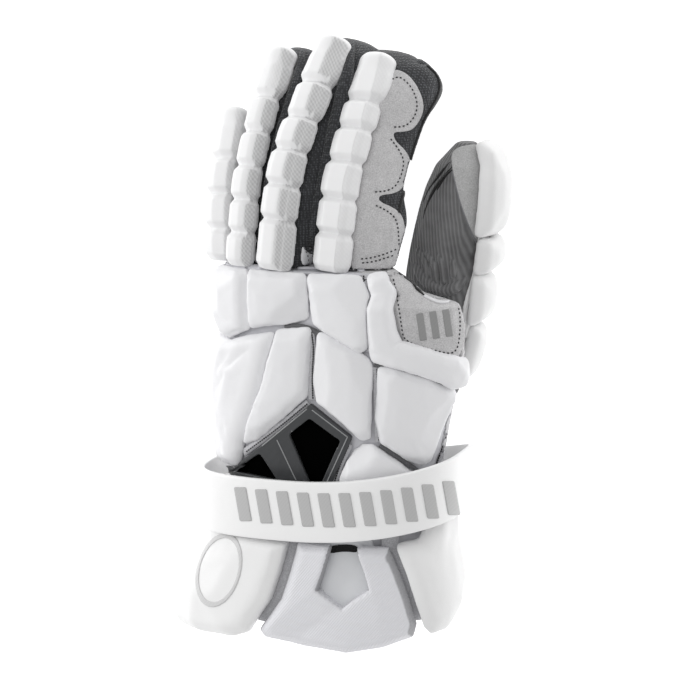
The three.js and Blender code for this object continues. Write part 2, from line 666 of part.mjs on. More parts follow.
function fingerPad(finger, from, to) {
  const edge = FINGER_PAD_EDGE / finger.length;
  const seat = BACKING_HEIGHT + BACKING_SEAT;
  const stations = [
    { along: from, wide: 0.86, tall: 0.55 }, { along: from + edge, wide: 1, tall: 0.97 },
    { along: (from + to) / 2, wide: 1, tall: 1 },
    { along: to - edge, wide: 1, tall: 0.97 }, { along: to, wide: 0.86, tall: 0.55 },
  ];
  const rings = stations.map(({ along, wide, tall }) => {
    const { base, across, outward } = padSide(finger, along);
    const narrow = 1 - 0.28 * Math.max(0, (along - 0.8) / 0.2) ** 2;
    return FINGER_PAD_SECTION.map((corner) => {
      const ridge = corner.across === 0 && corner.up === 1 ? finger.crease : corner.across;
      return base.clone().addScaledVector(across, ridge * finger.padWidth * wide * narrow)
        .addScaledVector(outward, seat + corner.up * FINGER_PAD_HEIGHT * (corner.up > 0 ? tall : 1));
    });
  });
  return loft(rings, middleOf(rings[0]), middleOf(rings[rings.length - 1]));
}

function fingerBacking(finger) {
  const half = finger.padWidth * 0.38;
  const rings = spread(BACKING_ENDS[0], BACKING_ENDS[1], 7).map((along) => {
    const { base, across, outward } = padSide(finger, along);
    const corners = [[-half, 0], [half, 0], [half, BACKING_HEIGHT], [-half, BACKING_HEIGHT]];
    return corners.map(([x, z]) => (
      base.clone().addScaledVector(across, x).addScaledVector(outward, z)));
  });
  return loft(rings, middleOf(rings[0]), middleOf(rings[rings.length - 1]));
}

// A finger's fabric, hollow and open at its root, gives way to the next finger on the thumb's side
function fingerSleeve(finger, neighbour) {
  const beside = (clearance) => (neighbour
    ? [sweptLoft(fingerSection(neighbour, -clearance), sleeveStations, 0, FINGER_SIDES)] : []);
  const outer = cut(
    sweptLoft(fingerSection(finger, 0), sleeveStations, 0, FINGER_SIDES), [rootBlock, ...beside(SLEEVE_GAP)]);
  const hollow = cut(sweptLoft(
    fingerSection(finger, FINGER_WALL), [-FINGER_DOME, ...sleeveStations.map((k) => k * HOLLOW_SPAN)], 0,
    FINGER_SIDES), beside(SLEEVE_GAP + FINGER_WALL));
  return cut(outer, [hollow]);
}

FINGERS.forEach((finger, i) => {
  piece(`${finger.name}_sleeve`, fingerSleeve(finger, FINGERS[i - 1]), 'mesh');
  piece(`${finger.name}_backing`, fingerBacking(finger), 'padWhite');
  const gap = FLEX_GAP / finger.length / 2;
  finger.edges.slice(1).forEach((to, k) => {
    const from = finger.edges[k];
    piece(`${finger.name}_pad_${k + 1}`, fingerPad(finger, from + gap, to - gap), 'padWhite');
  });
});

const overlaySheet = sheet(
  fingerSection(FINGERS[0], 0), OVERLAY_EDGES.map((row) => row.along),
  (along) => [column(OVERLAY_EDGES, 'from', along), column(OVERLAY_EDGES, 'to', along)],
  -PAD_SINK, BACKING_SEAT + OVERLAY_HEIGHT, 3);
const overlaySeat = sweptLoft(fingerSection(FINGERS[0], -BACKING_SEAT), sleeveStations, 0, FINGER_SIDES);
piece('index_overlay', cut(overlaySheet, [overlaySeat]), 'suede');

// Wrist strap, a closed loop with its underside pressed flat where the glove rests
const STRAP_ROUND = { topRound: 2.5, lowRound: 5 };
const STRAP_SLANT = [
  { along: 0.0, shift: 0.00 }, { along: 0.25, shift: 0.40 }, { along: 0.5, shift: 0.10 },
  { along: 0.75, shift: -0.10 }, { along: 1.0, shift: 0.00 },
];
function strapPoint(around, inset, across) {
  const section = {
    centre: new THREE.Vector3(STRAP_CENTRE, 0, STRAP_RISE / 2),
    side: new THREE.Vector3(1, 0, 0),
    up: new THREE.Vector3(0, 0, 1),
    left: STRAP_SPAN / 2 - inset,
    right: STRAP_SPAN / 2 - inset,
    rise: STRAP_RISE / 2 - inset,
    drop: STRAP_RISE / 2 + STRAP_PRESS - inset,
    ...STRAP_ROUND,
  };
  const point = sectionPoint(section, around);
  point.z = Math.max(point.z, inset);
  const turn = (around / (2 * Math.PI) + 1) % 1;
  point.y = STRAP_PLACE + column(STRAP_SLANT, 'shift', turn) * STRAP_WIDTH + across;
  return point;
}

// The strap's loop, or with a clearance the room that it takes up
function strapLoop(clearance) {
  const half = STRAP_WIDTH / 2 + clearance;
  const inner = STRAP_THICKNESS + clearance;
  const rows = pointRows();
  const faces = [];
  const index = Array.from({ length: STRAP_STEPS }, (_, i) => {
    const around = (i / STRAP_STEPS) * 2 * Math.PI;
    return [[-clearance, -half], [-clearance, half], [inner, half], [inner, -half]].map(([inset, across]) => (
      strapPoint(around, inset, across)));
  }).map(rows.add);
  index.forEach((row, i) => quads(faces, row, index[(i + 1) % STRAP_STEPS], true));
  return solid(rows.points, faces);
}
piece('strap', strapLoop(0), 'moulded');

// Pads on the back of the hand
function onHand(pad, height, edge, tools = []) {
  return cut(padOver(handSection, pad, -PAD_SINK, height + PAD_SINK, edge), [handSolid, ...tools]);
}
KNUCKLE_PADS.forEach((pad) => {
  piece(pad.name, onHand(pad, KNUCKLE_PAD_HEIGHT, PAD_EDGE), 'padWhite');
});
HAND_PADS.forEach((pad) => {
  piece(pad.name, onHand(pad, HAND_PAD_HEIGHT, PAD_EDGE, [strapLoop(STRAP_CLEARANCE)]), 'padWhite');
});
const webPiece = (rows, height, sides, softness) => cut(sheet(
  handSection, rows.map((row) => row.along),
  (along) => [column(rows, 'from', along), column(rows, 'to', along)],
  -PAD_SINK, height, sides, softness), [handSolid]);
piece('knuckle_pad_4', webPiece(KNUCKLE_PAD_4, KNUCKLE_PAD_HEIGHT, 4, 0.6), 'padWhite');
piece('web_patch', webPiece(WEB_PATCH, PATCH_HEIGHT + PAD_SEAT, 4, 1), 'suede');
const ventCutters = VENT_WINDOWS.map((window) => (
  prismOver(handSection, window, -PAD_SINK, 2 * VENT_HEIGHT)));
piece('vent_frame', onHand(VENT, VENT_HEIGHT, THIN_EDGE, ventCutters), 'gunmetal');

// Thumb pads on the outer side of the thumb
const thumbAt = thumbSection(0);
const thumbPadCutter = sweptLoft(
  thumbAt, [...thumbStations, 1.02], THUMB_PAD_LIFT, THUMB_SIDES);
const thumbSheet = (row, low, high, steps) => sheet(
  thumbAt, spread(row.along[0], row.along[1], steps), () => row.around, low, high, 3);
piece(THUMB_BACKING.name, thumbSheet(
  THUMB_BACKING, BACKING_SEAT, BACKING_SEAT + BACKING_HEIGHT, 9), 'padWhite');
THUMB_PADS.forEach((row) => {
  const middle = [(row.around[0] + row.around[1]) / 2, (row.along[0] + row.along[1]) / 2];
  const outline = [
    [row.around[0], row.along[0]], [row.around[1], row.along[0]],
    [row.around[1], row.along[1]], [row.around[0], row.along[1]],
  ];
  piece(row.name, cut(padOver(
    thumbAt, { hub: middle, outline }, -PAD_SINK, THUMB_PAD_HEIGHT + 2 * PAD_SINK, PAD_EDGE),
  [thumbPadCutter]), 'padWhite');
});

// Cuff
[FLAP_LEFT, FLAP_RIGHT].forEach((flap) => {
  piece(flap.name, cut(padOver(cuffSection, flap, 0, FLAP_HEIGHT, FLAP_EDGE), [handSolid]), 'padWhite');
});
piece('cuff_frame', cut(
  padOver(cuffSection, CUFF_FRAME, 0, FRAME_HEIGHT, FRAME_EDGE),
  [prismOver(cuffSection, FRAME_WINDOW, -FRAME_HEIGHT, 2 * FRAME_HEIGHT)]), 'moulded');
function underCuff(pad, drop, height, colour) {
  piece(pad.name, cut(padOver(cuffSection, pad, -drop - height, height, THIN_EDGE), [handSolid]), colour);
}
underCuff(CUFF_INNER_PAD, INNER_PAD_DROP, INNER_PAD_HEIGHT, 'moulded');
CUFF_GUSSETS.forEach((gusset) => underCuff(gusset, GUSSET_DROP, CUFF_GUSSET_HEIGHT, 'mesh'));

// Origin under the middle of the glove
glove.updateMatrixWorld(true);
const box = new THREE.Box3().setFromObject(glove);
glove.position.set(-(box.min.x + box.max.x) / 2, -(box.min.y + box.max.y) / 2, -box.min.z);

export default glove;
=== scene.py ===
import math

import bmesh
import bpy
from mathutils import Matrix, Vector, noise as space_noise
from mathutils.bvhtree import BVHTree
from mathutils.geometry import intersect_point_line


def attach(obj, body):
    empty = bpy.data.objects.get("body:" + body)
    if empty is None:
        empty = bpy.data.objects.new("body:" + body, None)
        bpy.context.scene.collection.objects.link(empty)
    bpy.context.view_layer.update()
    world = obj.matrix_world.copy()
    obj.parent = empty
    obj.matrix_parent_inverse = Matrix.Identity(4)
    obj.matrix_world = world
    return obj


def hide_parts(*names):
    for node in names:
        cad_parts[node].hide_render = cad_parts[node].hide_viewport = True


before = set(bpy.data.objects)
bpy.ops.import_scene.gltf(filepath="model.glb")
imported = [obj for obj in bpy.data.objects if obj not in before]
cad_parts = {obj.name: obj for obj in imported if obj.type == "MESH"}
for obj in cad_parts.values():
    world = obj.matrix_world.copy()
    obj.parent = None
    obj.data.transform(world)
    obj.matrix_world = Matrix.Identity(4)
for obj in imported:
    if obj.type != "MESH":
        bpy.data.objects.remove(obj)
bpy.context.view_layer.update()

MM = 0.001
FINGERS = {"index": 6, "middle": 6, "ring": 6, "little": 4}

# View of the photograph: 20 degrees round to the thumb's side, 12 degrees down to the cuff
IMAGE_SIZE = 700
VIEW_ROUND = math.radians(20)
VIEW_DOWN = math.radians(12)
VIEW_TARGET = Vector((0.00733, -0.00443, 0.036))
VIEW_DISTANCE = 1.5
PIXELS_PER_METRE_AWAY = 2727.27
SENSOR = 36.0

view_back = Vector((math.sin(VIEW_ROUND) * math.cos(VIEW_DOWN), math.sin(VIEW_DOWN),
                    math.cos(VIEW_ROUND) * math.cos(VIEW_DOWN)))
view_right = Vector((math.cos(VIEW_ROUND), 0, -math.sin(VIEW_ROUND)))
view_up = view_back.cross(view_right)
view_place = VIEW_TARGET + view_back * VIEW_DISTANCE


def make_camera():
    data = bpy.data.cameras.new("camera")
    data.sensor_width = SENSOR
    data.lens = SENSOR * PIXELS_PER_METRE_AWAY / IMAGE_SIZE
    camera = bpy.data.objects.new("camera", data)
    turn = Matrix((view_right, view_up, view_back)).transposed()
    camera.matrix_world = Matrix.Translation(view_place) @ turn.to_4x4()
    bpy.context.scene.collection.objects.link(camera)
    bpy.context.scene.camera = camera


def ray_to(pixel):
    across = (pixel[0] - IMAGE_SIZE / 2) / PIXELS_PER_METRE_AWAY
    up = (IMAGE_SIZE / 2 - pixel[1]) / PIXELS_PER_METRE_AWAY
    return (view_right * across + view_up * up - view_back).normalized()


def land(pixel, surface):
    """Where the photograph's pixel falls on a surface, and the way that surface faces."""
    ray = ray_to(pixel)
    place, normal, _, _ = surface.ray_cast(view_place, ray)
    if place is None:
        place, normal, _, _ = surface.find_nearest(view_place + ray * VIEW_DISTANCE)
    if normal.dot(ray) > 0:
        normal = -normal
    return place, normal


# Mesh helpers

STITCH_LENGTH = 1.5 * MM
STITCH_WIDTH = 1.0 * MM

# Puts a sheet's faces in one order, because extruding leaves those of its rim in a chance one
FACE_ORDER = Vector((1, 17.3, 291.7))


def cad_copy(node):
    """A node's CAD solid with its shared corners merged."""
    bm = bmesh.new()
    bm.from_mesh(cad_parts[node].data)
    bmesh.ops.remove_doubles(bm, verts=bm.verts, dist=0.00001)
    return bm


def to_object(bm, name):
    mesh = bpy.data.meshes.new(name)
    bm.to_mesh(mesh)
    bm.free()
    piece = bpy.data.objects.new(name, mesh)
    bpy.context.scene.collection.objects.link(piece)
    return piece


def apply_modifiers(piece):
    shown = piece.evaluated_get(bpy.context.evaluated_depsgraph_get())
    mesh = bpy.data.meshes.new_from_object(shown)
    piece.modifiers.clear()
    piece.data = mesh
    return piece


def smooth(bm, verts, rounds=1):
    """Moves corners halfway to the middle of their neighbours, some times over."""
    for _ in range(rounds):
        bmesh.ops.smooth_vert(bm, verts=verts, factor=0.5,
                              use_axis_x=True, use_axis_y=True, use_axis_z=True)


def add_form(whole, part):
    """Moves one form into another."""
    mesh = bpy.data.meshes.new("part")
    part.to_mesh(mesh)
    part.free()
    whole.from_mesh(mesh)
    bpy.data.meshes.remove(mesh)


def soft_mesh(bm, voxel, rounds, swell=0.0):
    """One even skin over closed forms, its edges rounded by smoothing and its faces pushed out."""
    piece = to_object(bm, "soft_work")
    remesh = piece.modifiers.new("even", "REMESH")
    remesh.mode = "VOXEL"
    remesh.voxel_size = voxel
    apply_modifiers(piece)
    skin = bmesh.new()
    skin.from_mesh(piece.data)
    bpy.data.objects.remove(piece)
    smooth(skin, skin.verts, rounds)
    skin.normal_update()
    if swell:
        for vert in skin.verts:
            vert.co += vert.normal * swell
    return skin


def smooth_share(share):
    """From 0 to 1, slow at both ends."""
    share = min(1, max(0, share))
    return share * share * (3 - 2 * share)


def push(skin, way, amount):
    """Moves the sides that face a direction along it."""
    skin.normal_update()
    for vert in skin.verts:
        vert.co += way * amount * max(0, vert.normal.dot(way))


def pieces(*names):
    return [bpy.data.objects[name] for name in names]


def surface_of(*objects):
    joined = bmesh.new()
    for piece in objects:
        joined.from_mesh(piece.data)
    tree = BVHTree.FromBMesh(joined)
    joined.free()
    return tree


def cad_surface(node):
    return surface_of(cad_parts[node])


def finish_piece(piece, material, slot, *nodes, pad=None):
    """Gives a piece its finish and its place in the glove, flat where it would sink into the table."""
    for vert in piece.data.vertices:
        vert.co.z = max(0, vert.co.z)
    piece.data.polygons.foreach_set("use_smooth", [True] * len(piece.data.polygons))
    piece.data.materials.clear()
    piece.data.materials.append(material)
    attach(piece, "root")
    if nodes:
        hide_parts(*nodes)
    return piece


def with_corners(outline, radius):
    """A straight-sided outline whose corners alone are rounded."""
    points = [Vector(p) for p in outline]
    count = len(points)
    soft = []
    for i, corner in enumerate(points):
        before, after = points[i - 1], points[(i + 1) % count]
        a = corner + (before - corner).normalized() * min(radius, (before - corner).length * 0.4)
        b = corner + (after - corner).normalized() * min(radius, (after - corner).length * 0.4)
        soft += [a, a.lerp(b, 0.5).lerp(corner, 0.5), b]
    return soft


def rounded(outline, rounds=2, closed=True):
    """An outline with its corners cut to curves."""
    points = [Vector(p) for p in outline]
    for _ in range(rounds):
        cut = []
        count = len(points)
        for i in range(count if closed else count - 1):
            a, b = points[i], points[(i + 1) % count]
            cut += [a.lerp(b, 0.25), a.lerp(b, 0.75)]
        points = cut if closed else [points[0], *cut, points[-1]]
    return points


def evenly(points, step):
    """Points at equal steps along a line."""
    line = [Vector(p) for p in points]
    lengths = [(b - a).length for a, b in zip(line, line[1:])]
    total = sum(lengths)
    count = max(1, round(total / step))
    even = []
    for k in range(count + 1):
        left = total * k / count
        i = 0
        while i < len(lengths) - 1 and left > lengths[i]:
            left -= lengths[i]
            i += 1
        even.append(line[i].lerp(line[i + 1], min(1, left / lengths[i])))
    return even


def inside(point, outline):
    hit = False
    for a, b in zip(outline, outline[1:] + outline[:1]):
        if (a[1] > point[1]) != (b[1] > point[1]):
            if point[0] < (b[0] - a[0]) * (point[1] - a[1]) / (b[1] - a[1]) + a[0]:
                hit = not hit
    return hit


def nearest_on(point, outlines):
    best, best_gap = None, 1e9
    for outline in outlines:
        for a, b in zip(outline, outline[1:] + outline[:1]):
            place, share = intersect_point_line(point, a, b)
            place = a if share < 0 else b if share > 1 else place
            gap = (place - point).length
            if gap < best_gap:
                best, best_gap = place, gap
    return best


def thicken(bm, thickness):
    """Gives a sheet its thickness, downwards from the face that it shows."""
    bmesh.ops.recalc_face_normals(bm, faces=bm.faces)
    bm.normal_update()
    if sum(face.normal.dot(view_back) for face in bm.faces) < 0:
        bmesh.ops.reverse_faces(bm, faces=bm.faces)
    bm.normal_update()
    made = bmesh.ops.extrude_face_region(bm, geom=bm.faces[:], use_keep_orig=True)
    lower = [g for g in made["geom"] if isinstance(g, bmesh.types.BMVert)]
    for vert, normal in zip(lower, [v.normal.copy() for v in lower]):
        vert.co -= normal * thickness
    bm.faces.sort(key=lambda face: face.calc_center_median().dot(FACE_ORDER))
    bmesh.ops.recalc_face_normals(bm, faces=bm.faces)


def patch_mesh(outline, surface, lift, thickness, holes=(), step=1.0, corner=None):
    """A sheet cut to an outline in the photograph and laid on a surface."""
    outlines = [with_corners(line, corner) if corner else rounded(line) for line in (outline, *holes)]
    edge, *gaps = [[Vector((x, y, 0)) for x, y in [p[:2] for p in line]] for line in outlines]
    low = [min(p[i] for p in edge) for i in (0, 1)]
    span = [max(p[i] for p in edge) - low[i] for i in (0, 1)]
    bm = bmesh.new()
    bmesh.ops.create_grid(bm, x_segments=max(2, round(span[0] / step)),
                          y_segments=max(2, round(span[1] / step)), size=0.5)
    for vert in bm.verts:
        vert.co = Vector((low[0] + (vert.co.x + 0.5) * span[0], low[1] + (vert.co.y + 0.5) * span[1], 0))
    outside = [face for face in bm.faces if not inside(face.calc_center_median(), edge)
               or any(inside(face.calc_center_median(), gap) for gap in gaps)]
    bmesh.ops.delete(bm, geom=outside, context="FACES")
    for vert in [vert for vert in bm.verts if vert.is_boundary]:
        vert.co = nearest_on(vert.co, [edge, *gaps])
    for vert in bm.verts:
        place, normal = land(vert.co, surface)
        vert.co = place + normal * lift
    smooth(bm, [vert for vert in bm.verts if not vert.is_boundary])
    thicken(bm, thickness)
    return bm


def ribbon_mesh(pixels, surface, width, lift, thickness, step=1.2, rounds=2, taper=False):
    """A flat band along a line in the photograph, laid on a surface."""
    line = rounded([Vector((x, y, 0)) for x, y in pixels], rounds, closed=False)
    laid = [land(p, surface) for p in evenly(line, step)]
    places = [place + normal * lift for place, normal in laid]
    bm = bmesh.new()
    left, sides = [], []
    for i, (place, (_, normal)) in enumerate(zip(places, laid)):
        ahead = places[min(i + 1, len(places) - 1)] - places[max(i - 1, 0)]
        side = ahead.cross(normal).normalized()
        share = i / (len(places) - 1)
        half = width / 2 * (math.sin(math.pi * (0.06 + 0.88 * share)) if taper else 1)
        left.append(bm.verts.new(place - side * half))
        sides.append(side * 2 * half)
    edges = [bm.edges.new(pair) for pair in zip(left, left[1:])]
    made = bmesh.ops.extrude_edge_only(bm, edges=edges)
    right = [v for v in made["geom"] if isinstance(v, bmesh.types.BMVert)]
    for vert, side in zip(right, sides):
        vert.co += side
    thicken(bm, thickness)
    return bm


def roll_mesh(pixels, surface, radius, lift=0.0, ends=0.5):
    """A soft roll along a line in the photograph, thinner towards its ends."""
    line = rounded([Vector((x, y, 0)) for x, y in pixels], 2, closed=False)
    places = evenly(line, radius / MM * 0.7)
    bm = bmesh.new()
    for i, pixel in enumerate(places):
        place, normal = land(pixel, surface)
        share = math.sin(math.pi * i / (len(places) - 1))
        size = radius * (ends + (1 - ends) * min(1, 1.6 * share))
        bmesh.ops.create_icosphere(bm, subdivisions=2, radius=size,
                                   matrix=Matrix.Translation(place + normal * lift))
    return soft_mesh(bm, radius / 4, 8)


def joined_bands(lines, surface, width, lift, thickness, **shape):
    """Flat bands along several lines in the photograph."""
    bands = bmesh.new()
    for line in lines:
        add_form(bands, ribbon_mesh(line, surface, width, lift, thickness, **shape))
    return bands


def joined_bars(places, shape, surface, lift, thickness, corner):
    """Raised bars of one shape at several places in the photograph."""
    bars = bmesh.new()
    for x, y in places:
        outline = [(x + across, y + down) for across, down in shape]
        add_form(bars, patch_mesh(outline, surface, lift, thickness, corner=corner))
    return bars


def stitch_mesh(bm, pixels, surface, pitch=4.2, lift=0.1):
    """Adds a row of stitches along a line in the photograph, with a pitch in its pixels."""
    line = rounded([Vector((x, y, 0)) for x, y in pixels], 2, closed=False)
    laid = [land(p, surface) for p in evenly(line, pitch)]
    for (a, normal), (b, _) in zip(laid, laid[1:]):
        ahead = (b - a).normalized()
        side = normal.cross(ahead).normalized()
        turn = Matrix((ahead, side, ahead.cross(side))).transposed().to_4x4()
        size = Matrix.Diagonal((STITCH_LENGTH, STITCH_WIDTH, STITCH_WIDTH, 1))
        middle = a.lerp(b, 0.5) + normal * lift * MM
        bmesh.ops.create_icosphere(bm, subdivisions=1, radius=0.5,
                                   matrix=Matrix.Translation(middle) @ turn @ size)


# Materials

def shader(name, base, roughness, **values):
    material = bpy.data.materials.new(name)
    material.use_nodes = True
    nodes, links = material.node_tree.nodes, material.node_tree.links
    bsdf = nodes["Principled BSDF"]
    bsdf.inputs["Base Color"].default_value = (*base, 1)
    bsdf.inputs["Roughness"].default_value = roughness
    for key, value in values.items():
        bsdf.inputs[key.replace("_", " ")].default_value = value
    place = nodes.new("ShaderNodeTexCoord").outputs["Object"]
    return material, nodes, links, bsdf, place


def noise(nodes, links, place, scale, detail=2.0):
    texture = nodes.new("ShaderNodeTexNoise")
    texture.inputs["Scale"].default_value = scale
    texture.inputs["Detail"].default_value = detail
    links.new(place, texture.inputs["Vector"])
    return texture.outputs["Fac"]


def math_node(nodes, links, operation, a, b=None, c=None):
    node = nodes.new("ShaderNodeMath")
    node.operation = operation
    for socket, value in zip(node.inputs, (a, b, c)):
        if value is None:
            continue
        if isinstance(value, (int, float)):
            socket.default_value = value
        else:
            links.new(value, socket)
    return node.outputs["Value"]


def waves(nodes, links, place, direction, pitch, wobble=0.0):
    """Even ribs across a direction, from 0 to 1."""
    dot = nodes.new("ShaderNodeVectorMath")
    dot.operation = "DOT_PRODUCT"
    links.new(place, dot.inputs[0])
    dot.inputs[1].default_value = Vector(direction).normalized() * (2 * math.pi / pitch)
    turn = dot.outputs["Value"]
    if wobble:
        drift = math_node(nodes, links, "MULTIPLY", noise(nodes, links, place, 60.0), wobble)
        turn = math_node(nodes, links, "ADD", turn, drift)
    swing = math_node(nodes, links, "SINE", turn)
    return math_node(nodes, links, "MULTIPLY_ADD", swing, 0.5, 0.5)


def bump(nodes, links, bsdf, height, distance):
    node = nodes.new("ShaderNodeBump")
    node.inputs["Distance"].default_value = distance
    node.inputs["Strength"].default_value = 1.0
    links.new(height, node.inputs["Height"])
    links.new(node.outputs["Normal"], bsdf.inputs["Normal"])


def blend_colour(nodes, links, share, low, high, target):
    mix = nodes.new("ShaderNodeMix")
    mix.data_type = "RGBA"
    links.new(share, mix.inputs["Factor"])
    mix.inputs["A"].default_value = (*low, 1)
    mix.inputs["B"].default_value = (*high, 1)
    links.new(mix.outputs["Result"], target)


def toned(base, share):
    return tuple(c * share for c in base)


def facing_way(nodes, links):
    """The way that the surface faces, along X, Y and Z."""
    way = nodes.new("ShaderNodeSeparateXYZ")
    links.new(nodes.new("ShaderNodeTexCoord").outputs["Normal"], way.inputs[0])
    return way.outputs


def rising(nodes, links, value, low, high):
    """0 up to the low value, 1 from the high one, and even between them."""
    ramp = nodes.new("ShaderNodeMapRange")
    ramp.inputs["From Min"].default_value = low
    ramp.inputs["From Max"].default_value = high
    links.new(value, ramp.inputs["Value"])
    return ramp.outputs["Result"]


def smooth_leather(name, base, roughness=0.42):
    material, nodes, links, bsdf, place = shader(name, base, roughness, Specular_IOR_Level=0.35)
    grain = noise(nodes, links, place, 2200.0)
    fold = noise(nodes, links, place, 140.0, 3.0)
    height = math_node(nodes, links, "MULTIPLY_ADD", fold, 2.5, grain)
    bump(nodes, links, bsdf, height, 0.00008)
    tone = noise(nodes, links, place, 45.0)
    blend_colour(nodes, links, tone, toned(base, 0.965), base, bsdf.inputs["Base Color"])
    return material


def facet_leather(name, base, shade=0.45, rib=1.0):
    """Pad leather with painted shade on its facet on the thumb's side, darker still in the grooves of the
    fine slanted ribs there.
    """
    material, nodes, links, bsdf, place = shader(name, base, 0.5, Specular_IOR_Level=0.3)
    way = facing_way(nodes, links)
    thumbward = rising(nodes, links, way["X"], 0.12, 0.34)
    up = rising(nodes, links, way["Z"], 0.25, 0.5)
    ribs = waves(nodes, links, place, (1.0, 0.62, 0), 0.0013)
    cross = waves(nodes, links, place, (1.0, -0.75, 0), 0.0017)
    both = math_node(nodes, links, "MULTIPLY_ADD", cross, 0.5, ribs)
    shown = math_node(nodes, links, "MULTIPLY", thumbward, up)
    strength = math_node(nodes, links, "MULTIPLY_ADD", shown, 0.8 * rib, 0.2 * rib)
    ribbed = math_node(nodes, links, "MULTIPLY", both, strength)
    grain = math_node(nodes, links, "MULTIPLY", noise(nodes, links, place, 2000.0), 0.25)
    bump(nodes, links, bsdf, math_node(nodes, links, "ADD", ribbed, grain), 0.00011)
    # Painted shade: darker in the rib grooves, and over the whole facet on the thumb's side by the shade
    # amount
    groove_shade = math_node(nodes, links, "MULTIPLY", math_node(nodes, links, "SUBTRACT", 1.5, both), 0.28 * rib)
    share = math_node(nodes, links, "MULTIPLY", math_node(nodes, links, "ADD", groove_shade, shade), shown)
    blend_colour(nodes, links, share, base, toned(base, 0.55), bsdf.inputs["Base Color"])
    return material


def woven_mesh(name, base, pitch=0.0009, depth=0.0002, bright=2.2, roughness=0.8):
    material, nodes, links, bsdf, place = shader(
        name, base, roughness, Sheen_Weight=0.25, Sheen_Roughness=0.5)
    threads = nodes.new("ShaderNodeTexVoronoi")
    threads.inputs["Scale"].default_value = 1 / pitch
    threads.inputs["Randomness"].default_value = 0.3
    links.new(place, threads.inputs["Vector"])
    near = math_node(nodes, links, "MULTIPLY_ADD", threads.outputs["Distance"], -2.2, 1.15)
    weave = math_node(nodes, links, "MAXIMUM", near, 0.0)
    bump(nodes, links, bsdf, weave, depth)
    mottle = math_node(nodes, links, "MULTIPLY_ADD", noise(nodes, links, place, 90.0), 0.3, -0.15)
    share = math_node(nodes, links, "ADD", math_node(nodes, links, "MULTIPLY", weave, 0.8), mottle)
    blend_colour(nodes, links, share, base, toned(base, bright), bsdf.inputs["Base Color"])
    return material


def suede(name, base):
    material, nodes, links, bsdf, place = shader(
        name, base, 0.95, Sheen_Weight=0.35, Sheen_Roughness=0.6, Specular_IOR_Level=0.15)
    nap = noise(nodes, links, place, 1500.0, 4.0)
    cloud = noise(nodes, links, place, 220.0, 3.0)
    bump(nodes, links, bsdf, nap, 0.0002)
    share = math_node(nodes, links, "MULTIPLY_ADD", cloud, 0.5, math_node(
        nodes, links, "MULTIPLY_ADD", nap, 2.0, -0.75))
    blend_colour(nodes, links, share, toned(base, 0.72), toned(base, 1.2), bsdf.inputs["Base Color"])
    return material


def ribbed_cloth(name, base):
    material, nodes, links, bsdf, place = shader(
        name, base, 0.9, Sheen_Weight=0.3, Sheen_Roughness=0.5, Specular_IOR_Level=0.15)
    ribs = waves(nodes, links, place, (1.0, 0.12, 0.5), 0.0017, 5.0)
    cloud = noise(nodes, links, place, 70.0, 4.0)
    bump(nodes, links, bsdf, ribs, 0.0004)
    share = math_node(nodes, links, "MULTIPLY_ADD", ribs, 0.5, math_node(
        nodes, links, "MULTIPLY_ADD", cloud, 1.3, -0.4))
    blend_colour(nodes, links, share, toned(base, 0.6), toned(base, 1.5), bsdf.inputs["Base Color"])
    return material


def textured_plastic(name, base, roughness, pitch, depth, side_shade=None):
    """Moulded surface with fine slanted lines, and if asked with painted shade on its sides to left and
    right.
    """
    material, nodes, links, bsdf, place = shader(name, base, roughness, Specular_IOR_Level=0.35)
    ribs = waves(nodes, links, place, (1.0, -0.8, 0), pitch)
    grain = math_node(nodes, links, "MULTIPLY", noise(nodes, links, place, 1800.0), 0.4)
    bump(nodes, links, bsdf, math_node(nodes, links, "ADD", ribs, grain), depth)
    if side_shade:
        # Painted shade on the sides that face left and right, made uneven by noise
        sideways = math_node(nodes, links, "ABSOLUTE", facing_way(nodes, links)["X"])
        uneven_shade = math_node(nodes, links, "MULTIPLY_ADD", noise(nodes, links, place, 900.0), 0.5, 0.75)
        dark = math_node(nodes, links, "MULTIPLY", rising(nodes, links, sideways, 0.55, 0.75), uneven_shade)
        blend_colour(nodes, links, dark, base, toned(base, side_shade), bsdf.inputs["Base Color"])
    else:
        share = math_node(nodes, links, "MULTIPLY", ribs, 0.6)
        blend_colour(nodes, links, share, toned(base, 0.93), base, bsdf.inputs["Base Color"])
    return material


WHITE = smooth_leather("white_leather", (0.83, 0.83, 0.845))
# Finger pad leathers, each with its own amount of painted shade on the facet on the thumb's side and in its
# rib grooves
FACETED = facet_leather("faceted_leather", (0.83, 0.83, 0.835))
INDEX_LEATHER = facet_leather("index_leather", (0.84, 0.84, 0.845), 0.12, 0.15)
LITTLE_LEATHER = facet_leather("little_leather", (0.84, 0.84, 0.845), -0.1, 0.6)
FLAP_WHITE = smooth_leather("flap_leather", (0.86, 0.86, 0.86), 0.5)
STRAP_WHITE = smooth_leather("strap_rubber", (0.91, 0.91, 0.91), 0.38)
THUMB_WHITE = smooth_leather("thumb_leather", (0.80, 0.80, 0.80), 0.5)
PALM = smooth_leather("palm_leather", (0.60, 0.60, 0.61), 0.7)
MESH = woven_mesh("charcoal_mesh", (0.018, 0.019, 0.021), pitch=0.0013, depth=0.0004, bright=6.5)
BED = smooth_leather("bed_leather", (0.60, 0.60, 0.63), 0.6)
SUEDE = suede("light_suede", (0.55, 0.545, 0.55))
THUMB_SUEDE = suede("thumb_suede", (0.45, 0.45, 0.45))
RIBBED = ribbed_cloth("ribbed_cloth", (0.15, 0.15, 0.152))
STRIP = suede("strip_cloth", (0.50, 0.50, 0.52))
